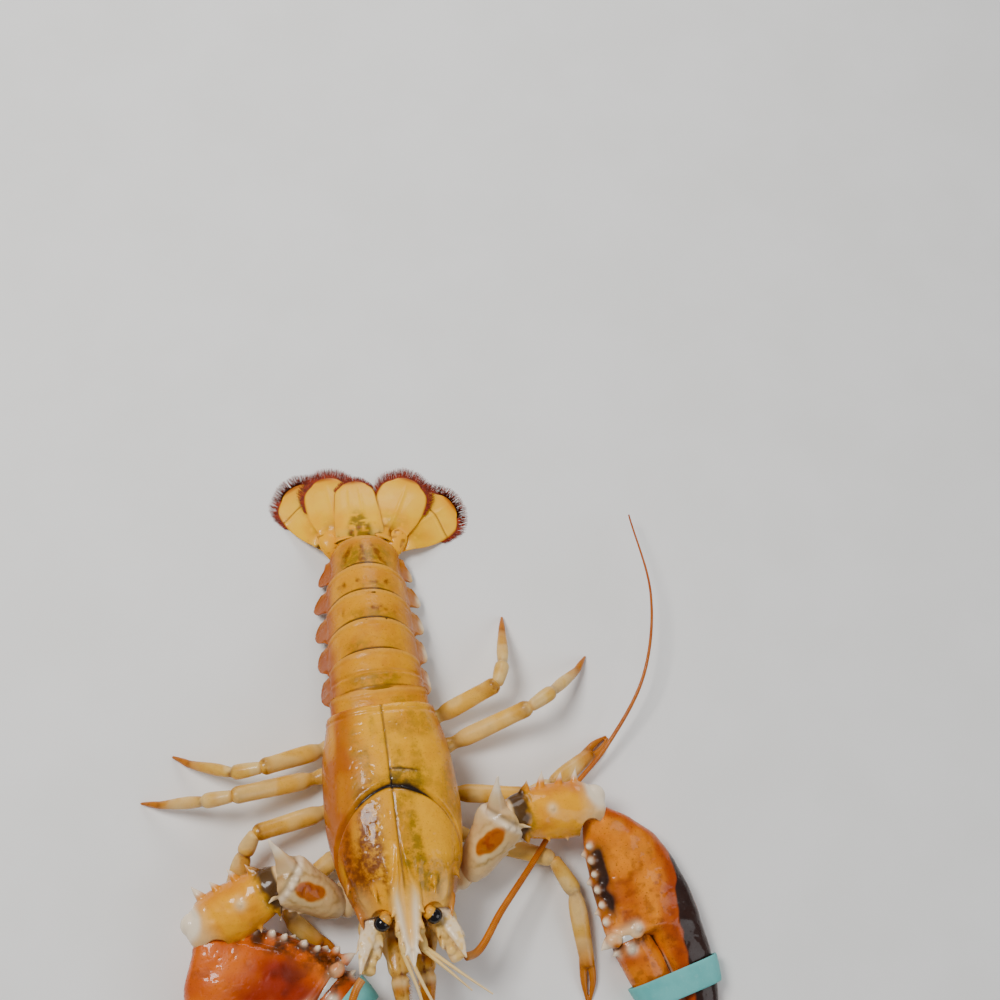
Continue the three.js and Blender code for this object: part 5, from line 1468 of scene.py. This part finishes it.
def hull_loop(hand, share, push, count):
    """The outline of a loop pulled tight round both fingers, pushed out by some length."""
    centre = hand.at(share, 0, 0)
    tables = (hand.table, hand.finger)
    dots = np.vstack([hand.section(share, profile(table, share), 72) - centre for table in tables])
    dots = np.stack([dots @ hand.inner, dots @ hand.rise], 1)
    turn = np.linspace(0, 2 * math.pi, 721)[:-1]
    support = np.max(np.stack([np.cos(turn), np.sin(turn)], 1) @ dots.T, axis=1) + push
    slope = (np.roll(support, -1) - np.roll(support, 1)) / (turn[2] - turn[0])
    x = support * np.cos(turn) - slope * np.sin(turn)
    y = support * np.sin(turn) + slope * np.cos(turn)
    loop = np.stack([np.append(x, x[0]), np.append(y, y[0])], 1)
    run = run_of(loop)
    at = np.linspace(0, run[-1], count, endpoint=False)
    return (np.interp(at, run, loop[:, k]) for k in (0, 1))


def band(name, hand):
    """A flat loop of rubber with rounded edges, stretched round both fingers."""
    half_width, half_thickness, gap, count = 6.4, 0.72, 1.75, 150
    rings = []
    for turn in np.radians(np.arange(0, 360, 20) + 10):
        on = half_width * bulge(math.cos(turn), 0.35)
        off = half_thickness * bulge(math.sin(turn), 0.5)
        share = hand.band + on / hand.length
        rings.append(hand.at(share, *hull_loop(hand, share, gap + off, count)))
    rings = np.array(rings).transpose(1, 0, 2)
    n, m = rings.shape[:2]
    verts = rings.reshape(-1, 3)
    i, j = np.meshgrid(np.arange(n), np.arange(m), indexing="ij")
    a, b = i * m + j, i * m + (j + 1) % m
    c, d = (i + 1) % n * m + (j + 1) % m, (i + 1) % n * m + j
    faces = np.stack([a, b, c, d], -1).reshape(-1, 4)
    if np.sum(normals(verts, faces) * (verts - hand.at(hand.band, 0, 0))) < 0:
        faces = faces[:, ::-1]
    name = f"claw_band_{name}"
    build(name, (verts, faces.tolist()), name, skin["band"])


for arm_name, arm_side in SIDES:
    arm(arm_name, arm_side)

# Walking legs. Each runs hip, knee, ankle, foot and tip, and the first two pairs end in small pincers.

WALKERS = {
    "left": [
        [(14.5, -55, 10), (77, -82, 13.6), (85.5, -99, 10), (87, -134, 4.6), (85, -151, 0.5)],
        [(14.5, -39, 10), (68, -49, 13), (82, -46, 12), (106, -32, 4.4), (117, -24, 0.5)],
        [(14.5, -23, 9.5), (76, -7, 26), (89, 0, 22), (106, 12, 7), (113, 20, 0.5)],
        [(14, -8, 9), (61, 7, 25), (66, 18, 20), (70, 38, 7), (72, 47, 0.5)],
    ],
    "right": [
        [(-14.5, -55, 10), (-52, -80, 11), (-55, -91, 10.6), (-42, -104, 4.4), (-33, -113, 0.5)],
        [(-14.5, -39, 10), (-67, -50, 23), (-73, -58, 17), (-82, -76, 6), (-87, -88, 0.5)],
        [(-14.5, -23, 9.5), (-76, -31, 25), (-90, -31, 21), (-112, -28, 7), (-122, -25, 0.5)],
        [(-14, -8, 9), (-61, -19, 24), (-75, -19, 20), (-96, -10, 7), (-105, -4, 0.5)],
    ],
}


def leg(name, side, number, chain, pincer):
    hip, knee, ankle, foot, tip = (p(*v) for v in chain)
    bend = mix(hip, knee, 0.36)
    bend[2] = hip[2]
    shin = ((0.16, 4.6, 3.5), (0.8, 4.3, 3.4), (0.94, 4.3, 3.6), (0.98, 3.4, 2.9))
    upper = [(mix(hip, bend, 0.1), 4.1, 3.5), (mix(hip, bend, 0.8), 4.2, 3.5), (bend, 3.4, 3)]
    upper += [(mix(bend, knee, share), wide, thick) for share, wide, thick in shin]
    root = [(hip + p(-side * 3.5, 0, 0.4), 5, 4), (hip + p(side * 5, 0, 0), 5.2, 4.2)]
    verts, faces = fuse([tube(root, sides=32), tube(upper, sides=32)], 0.5, 3)
    t = along(verts, bend, knee)
    patch = cell_noise(verts, 7, 100 + number)
    piece(
        f"leg_{name}_{number}_upper",
        (verts, faces),
        "pale",
        skin["limb"],
        pale=0.55 * smooth(patch, 0.3, 0.7),
        brown=0.75 * bell(t - 0.96, 0.05) + 0.5 * bell(t, 0.08) + 0.3 * smooth(patch, 0.6, 0.8),
        warm=0.5 * bell(t - 0.9, 0.1) + 0.3 * bell(t - 0.15, 0.1),
    )

    a, b, c, d, e = (3.2, 4.2, 3.2, 4.6, 3.8) if pincer else (3.1, 3.8, 2.8, 3.1, 2.1)
    wrist = [(knee + unit(ankle - knee) * 0.8, a, a), (mix(knee, ankle, 0.6), b, b * 0.95)]
    wrist += [(mix(knee, ankle, 0.92), b * 0.96, b * 0.9), (mix(knee, ankle, 1.04), c * 0.86, c * 0.86)]
    shaft = [(ankle, c * 0.86, c * 0.84), (mix(ankle, foot, 0.12), d * 0.9, c * 0.96)]
    shaft += [(mix(ankle, foot, 0.4), d, c), (foot, e * 0.95, e * 0.75)]
    parts = [tube(wrist, sides=32)]
    if pincer:
        across = unit(np.cross(tip - foot, UP))
        parts.append(tube(shaft, sides=32))
        for turn in (-1, 1):
            first = mix(ankle, foot, 0.86) + across * turn * 1.7
            middle = mix(foot, tip, 0.4) + across * turn * 2.3
            last = tip + across * turn * 0.7
            parts.append(tube([(first, 2.1, 2), (middle, 1.7, 1.5), (last, 0.6, 0.8)], sides=20))
    else:
        parts.append(tube([*shaft, (mix(foot, tip, 0.4), 1.6, 1.6), (tip, 0.7, 0.7)], sides=28))
    verts, faces = fuse(parts, 0.45, 3)
    s = along(verts, ankle, foot)
    patch = cell_noise(verts, 6, 110 + number)
    piece(
        f"leg_{name}_{number}_lower",
        (verts, faces),
        "pale",
        skin["leg"],
        pale=0.5 * smooth(patch, 0.3, 0.7) * smooth(s, 1.1, 0.5),
        brown=0.8 * bell(s, 0.07) + 0.6 * bell(s - 1.0, 0.06) + 0.25 * smooth(patch, 0.6, 0.8),
        warm=smooth(s, 0.35, 1.1) * 0.9,
        red=0.3 * smooth(s, 0.8, 1.5),
    )


for leg_name, leg_side in SIDES:
    for number, chain in enumerate(WALKERS[leg_name]):
        leg(leg_name, leg_side, number + 2, chain, number < 2)

# Head

FEELERS = {
    "left": [
        (31, -120, 34), (46, -103, 27), (66, -82, 20.2), (80, -66, 13), (92, -50, 8.5),
        (114, -30, 11), (138, 2, 19), (150, 44, 20), (148, 92, 14),
    ],
    "right": [
        (-27, -128, 43), (-36, -148, 48), (-54, -172, 47), (-82, -192, 42),
        (-116, -202, 34), (-148, -200, 26), (-176, -188, 20),
    ],
}  # fmt: skip
# Close to upright, and no feeler runs along it
NEARLY_UP = p(0.02, 0.03, 1)


def ahead_of(verts):
    return (verts - p(0, 0, REAR_HEIGHT)) @ NOSE


def eye(name, side):
    """A short stalk and a black cornea that wraps its end."""
    centre = eye_place(side)
    stalk = [(94, 7.2, -8.8, 2.5, 2.5), (97, 8.8, -8, 2.9, 2.9)]
    stalk += [(100, 10.4, -7, 3.2, 3.2), (100.6, 10.9, -6.6, 3, 3)]
    cap = ball(centre + p(-side * 1.5, 1.3, 0.9), (3.1, 3.0, 3.2))
    verts, faces = fuse([tube(stations(stalk, side), BACK, 32), cap], 0.3, 3)
    patch = cell_noise(verts, 2.5, 5)
    brown = 0.7 * smooth(patch, 0.5, 0.8)
    piece(f"eye_{name}", (verts, faces), "eye", skin["shell"], warm=0.3 * patch, pale=0.35 * patch, brown=brown)
    verts, faces = ball(p(0, 0, 0), (3.95, 3.8, 4.0), 44)
    facing = unit(verts) @ unit(p(side * 0.7, -0.66, -0.05))
    verts = verts * mix(0.86, 1.0, smooth(facing, -0.42, -0.28))[:, None] + centre
    build(f"cornea_{name}", (verts, faces), None, skin["cornea"])


def antenna_base(name, side):
    rows = [(ahead, x, rise, wide, wide * 0.9) for ahead, x, rise, wide in PEDUNCLE]
    scale = [
        (101, 16.2, -13.6, 3.6, 2.0), (107, 19.6, -11.8, 3.7, 1.5),
        (114, 22.4, -10.8, 2.3, 1.1), (121.5, 24.4, -10.4, 0.5, 0.4),
    ]  # fmt: skip
    parts = [tube(stations(rows, side), BACK, 40, 0.5), tube(stations(scale, side), BACK, 28)]
    parts += thorax_spines(
        side,
        (
            ((103, 20, -14), (112.5, 25.6, -12.6), 2),
            ((106, 14, -13.4), (111.5, 12.8, -12), 1.8),
            ((112, 15.2, -15), (116.5, 14.2, -13.6), 1.5),
        ),
    )
    for ahead, x, rise, wide, high in (
        (101, 13.4, -13.6, 3.6, 3.0), (109, 16.6, -14.4, 3.0, 2.4), (116.5, 18.6, -15.4, 2.6, 2.2),
    ):  # fmt: skip
        parts.append(ball(on_thorax(ahead, side * x, rise), (wide, wide, high), 20))
    verts, faces = fuse(parts, 0.42, 2)
    lift = 0.5 * (cell_noise(verts, 3, 125) - 0.5) + 0.3 * (cell_noise(verts, 1.4, 126) - 0.5)
    verts, faces = relief((verts, faces), lift)
    ahead, rise, x = ahead_of(verts), (verts - p(0, 0, REAR_HEIGHT)) @ BACK, verts[:, 0] * side
    patch, fine = cell_noise(verts, 5, 120), cell_noise(verts, 1.8, 127)
    scale = smooth(rise, -15.4, -13.4) * smooth(x - 15 - (ahead - 101) * 0.45, -2, 0)
    piece(
        f"antenna_base_{name}",
        (verts, faces),
        "pale",
        skin["limb"],
        pale=0.35 + 0.6 * patch,
        white=0.7 * scale * smooth(fine, 0.1, 0.5) + 0.5 * smooth(patch, 0.6, 0.85),
        brown=0.8 * (bell(ahead - 105.6, 1.1) + bell(ahead - 114, 0.9)) * (1 - scale)
        + 0.55 * smooth(fine, 0.6, 0.8) * (1 - 0.7 * scale)
        + 0.6 * smooth(rise, -19, -23),
        warm=0.55 * smooth(patch, 0.5, 0.2) + 0.4 * smooth(ahead, 100, 96),
        red=0.5 * scale * smooth(ahead, 116, 121),
    )


def antenna(name, side):
    """The long ringed flagellum, in two lengths that overlap a little."""
    steps, sides, pitch = 2001, 14, 0.9
    pts = curve([on_thorax(120.2, side * 21.2, -18), *FEELERS[name]], steps)
    whole = run_of(pts)[-1]
    for number, (start, end) in enumerate(((0.02, 0.4206), (0.419, 1.0)), 1):
        t = np.linspace(start, end, int(whole * (end - start) / 0.3))
        centres = np.stack([np.interp(t, np.linspace(0, 1, steps), pts[:, k]) for k in range(3)], 1)
        off = t * whole / pitch % 1 - 0.5
        radius = mix(2.1, 0.45, t**0.8) * (1 - 0.07 * bell(off, 0.16))
        tangent = unit(np.gradient(centres, axis=0))
        wide = unit(np.cross(tangent, NEARLY_UP))
        thick = np.cross(wide, tangent)
        part = closed([ring(c, w, h, r, r, sides) for c, w, h, r in zip(centres, wide, thick, radius)])
        shade = np.append(np.repeat(bell(off, 0.2), sides), [0, 0])
        far = np.append(np.repeat(t, sides), [start, end])
        red, pale = 0.4 * smooth(far, 0.2, 1.0), 0.3 * smooth(far, 0.06, 0.02)
        piece(f"antenna_{name}_{number}", part, "feeler", skin["feeler"], brown=0.6 * shade, red=red, pale=pale)


def antennule(name, side):
    root, end = on_thorax(100.6, side * 4.2, -13.5), on_thorax(115, side * 4.6 + 1.5, -12.5)
    aim = p(30, -138, 45) if side > 0 else p(9, -152, 40)
    rows = ((0, 2.5, 2.5), (0.42, 2.7, 2.7), (0.5, 1.9, 1.9), (0.75, 2.2, 2.2), (1, 1.7, 1.7))
    parts = [limb(root, end, rows, normal=BACK, sides=24, step=0.4)]
    steps = 130
    t = np.linspace(0, 1, steps)
    width = mix(1.1, 0.35, t) * (1 + 0.05 * np.sin(t * steps))
    for spread in (-1.5, 1.5):
        first = mix(root, end, 0.96) + LEFT * spread * 0.65
        middle = mix(end, aim, 0.5) + LEFT * spread * 1.2 + UP * 1.6
        line = curve([first, middle, aim + LEFT * spread * 3 + p(0, -spread, spread)], steps)
        parts.append(tube([(c, w, w) for c, w in zip(line[::2], width[::2])], NEARLY_UP, 12, 0.4))
    verts, faces = join(parts)
    white = 0.5 * smooth(ahead_of(verts), 110, 150)
    brown = 0.4 * smooth(cell_noise(verts, 4, 121), 0.6, 0.8)
    piece(f"antennule_{name}", (verts, faces), "pale", skin["limb"], pale=0.9, white=white, brown=brown)


# Rows of the third maxilliped and of its palp are: ahead, aside, up, half width, half thickness
MAXILLIPED = [
    (74, 6.2, -35, 3.8, 3.2), (86, 6.2, -34, 5.0, 3.7), (94, 6.2, -32.4, 5.4, 3.9), (100, 6.2, -31, 5.2, 3.9),
    (101.4, 6.2, -30.8, 3.9, 3.2), (103.5, 6.3, -30.4, 4.7, 3.7), (114, 6.5, -28.5, 5.2, 3.9),
    (121, 6.6, -28.3, 4.6, 3.7), (123, 6.6, -28.6, 3.4, 3.1), (125, 6.5, -29.2, 4.2, 3.4),
    (132, 6.2, -32, 3.4, 3), (139, 5.6, -36, 2.4, 2.2), (144, 5.0, -40.5, 0.9, 0.9),
]  # fmt: skip
PALP = [
    (88, 11.4, -31, 1.8, 1.6), (98, 12.4, -28, 2.2, 1.8), (108, 12.2, -26, 1.8, 1.5),
    (114, 11, -25.4, 1.1, 1.0), (121, 9.4, -24.6, 0.5, 0.5),
]  # fmt: skip


def maxilliped(name, side):
    """The stout feeler folded below the mouth, with its palp and its comb of teeth and hairs."""
    inward = -side * LEFT
    parts = [tube(stations(MAXILLIPED, side), BACK, 40, 0.6)]
    for ahead in np.arange(84, 131, 3.1):
        x, u, w, _ = profile(MAXILLIPED, ahead)
        root = on_thorax(ahead, side * (x - w * 0.8), u + 0.6)
        parts.append(spine(root, root + inward * 1.7 + NOSE * 0.8 + BACK * 0.7, 0.9, 10))
        root = on_thorax(ahead + 1, side * (x + w * 0.7), u + 1.4)
        parts.append(knob(root, BACK - inward, 0.8, 0.8))
    parts.append(tube(stations(PALP, side), BACK, 20, 0.6))
    verts, faces = fuse(parts, 0.42, 2)
    verts, faces = relief((verts, faces), 0.3 * (cell_noise(verts, 3.5, 123) - 0.5))
    ahead, x = ahead_of(verts), verts[:, 0] * side
    patch, fine = cell_noise(verts, 6, 122), cell_noise(verts, 2, 124)
    piece(
        f"maxilliped_{name}",
        (verts, faces),
        "pale",
        skin["leg"],
        brown=0.6 * smooth(patch, 0.45, 0.75)
        + 0.8 * bell(ahead - 101.6, 1.3)
        + 0.8 * bell(ahead - 123, 1.3)
        + 0.7 * bell(x - 5.6, 0.6) * smooth(fine, 0.2, 0.5)
        + 0.4 * smooth(fine, 0.65, 0.8),
        warm=0.9 * smooth(x, 10.5, 8) * smooth(patch, 0.1, 0.6),
        pale=0.8 * smooth(x, 10, 11) + 0.7 * bell(ahead - 104, 2) + 0.6 * bell(ahead - 126, 2),
        red=0.3 * smooth(patch, 0.6, 0.85),
    )
    tufts = []
    rng = np.random.default_rng(9)
    for ahead in np.arange(84, 140, 0.16):
        x, u, w, _ = profile(MAXILLIPED, ahead)
        root = on_thorax(ahead, side * (x - w * 0.86), u + rng.uniform(-1.2, 1.2))
        way = unit(inward * 0.8 + NOSE * rng.uniform(0.3, 0.9) + BACK * rng.uniform(-0.5, 0.5))
        tufts.append((root, way, rng.uniform(1.6, 3.0)))
    build(f"maxilliped_{name}_hairs", hairs(tufts, 0.07), None, skin["bristle"], shade=False)


def hairs(tufts, width):
    """Flat tapered hairs from (root, direction, length)."""
    verts, faces = [], []
    for root, way, length in tufts:
        side = unit(np.cross(way, UP + 0.01)) * width
        base = len(verts)
        for t in (0, 0.5, 1):
            place = root + way * length * t - UP * 0.12 * length * t * t
            verts += [place - side * (1 - 0.8 * t), place + side * (1 - 0.8 * t)]
        faces += [[base, base + 1, base + 3, base + 2], [base + 2, base + 3, base + 5, base + 4]]
    return np.array(verts), faces


for head_name, head_side in SIDES:
    for make in (eye, antenna_base, antenna, antennule, maxilliped):
        make(head_name, head_side)

# Sternum and mouth frame: softened skins of their solids


def softened(node, voxel):
    verts, faces = read(frame["nodes"][node].data)
    welded, index = np.unique(np.round(verts - SHIFT, 4), axis=0, return_inverse=True)
    faces = [index.reshape(-1)[f].tolist() for f in faces]
    verts, faces = fuse([(welded, [f for f in faces if len(set(f)) == len(f)])], voxel, 6)
    patch = cell_noise(verts, 5, 130)
    brown = 0.35 * smooth(patch, 0.5, 0.75)
    piece(node, (verts, faces), "pale", skin["limb"], pale=0.6, brown=brown, warm=0.3 * patch)


softened("sternum", 0.6)
softened("mouthparts", 0.5)

# Floor and light


def grey(*rgb):
    """The linear colour of an sRGB one given from 0 to 255; none of these is near black."""
    return tuple(((c / 255 + 0.055) / 1.055) ** 2.4 for c in rgb)


def stage():
    size = 3.0
    mesh = bpy.data.meshes.new("floor")
    corners = [(-size, -size, 0), (size, -size, 0), (size, size, 0), (-size, size, 0)]
    mesh.from_pydata(corners, [], [(0, 1, 2, 3)])
    obj = link("floor", mesh)
    s = Surface("floor", grey(244, 243, 241), 0.8, 0.1)
    s.coat(s.noise(60, 3, 0.3, 0.7), grey(240, 239, 236))
    mesh.materials.append(s.done())


def light(name, place, size, power, color=(1, 1, 1)):
    """A square lamp that shines on the middle of the floor."""
    data = bpy.data.lights.new(name, "AREA")
    data.shape = "RECTANGLE"
    data.size = data.size_y = size
    data.energy = power
    data.color = color
    obj = link(name, data)
    obj.location = Vector(place)
    obj.rotation_euler = (-Vector(place)).to_track_quat("-Z", "Y").to_euler()


def world():
    w = bpy.data.worlds.new("studio")
    w.use_nodes = True
    background = w.node_tree.nodes["Background"]
    background.inputs["Color"].default_value = (0.9, 0.94, 1, 1)
    background.inputs["Strength"].default_value = 0.22
    bpy.context.scene.world = w


stage()
world()
light("key", (-0.45, 0.3, 1.1), 0.4, 12, (1, 0.98, 0.95))
light("fill", (0.9, -0.5, 0.8), 0.8, 4.5, (0.97, 0.98, 1))
light("rim", (0.2, 1.0, 0.6), 0.5, 4)
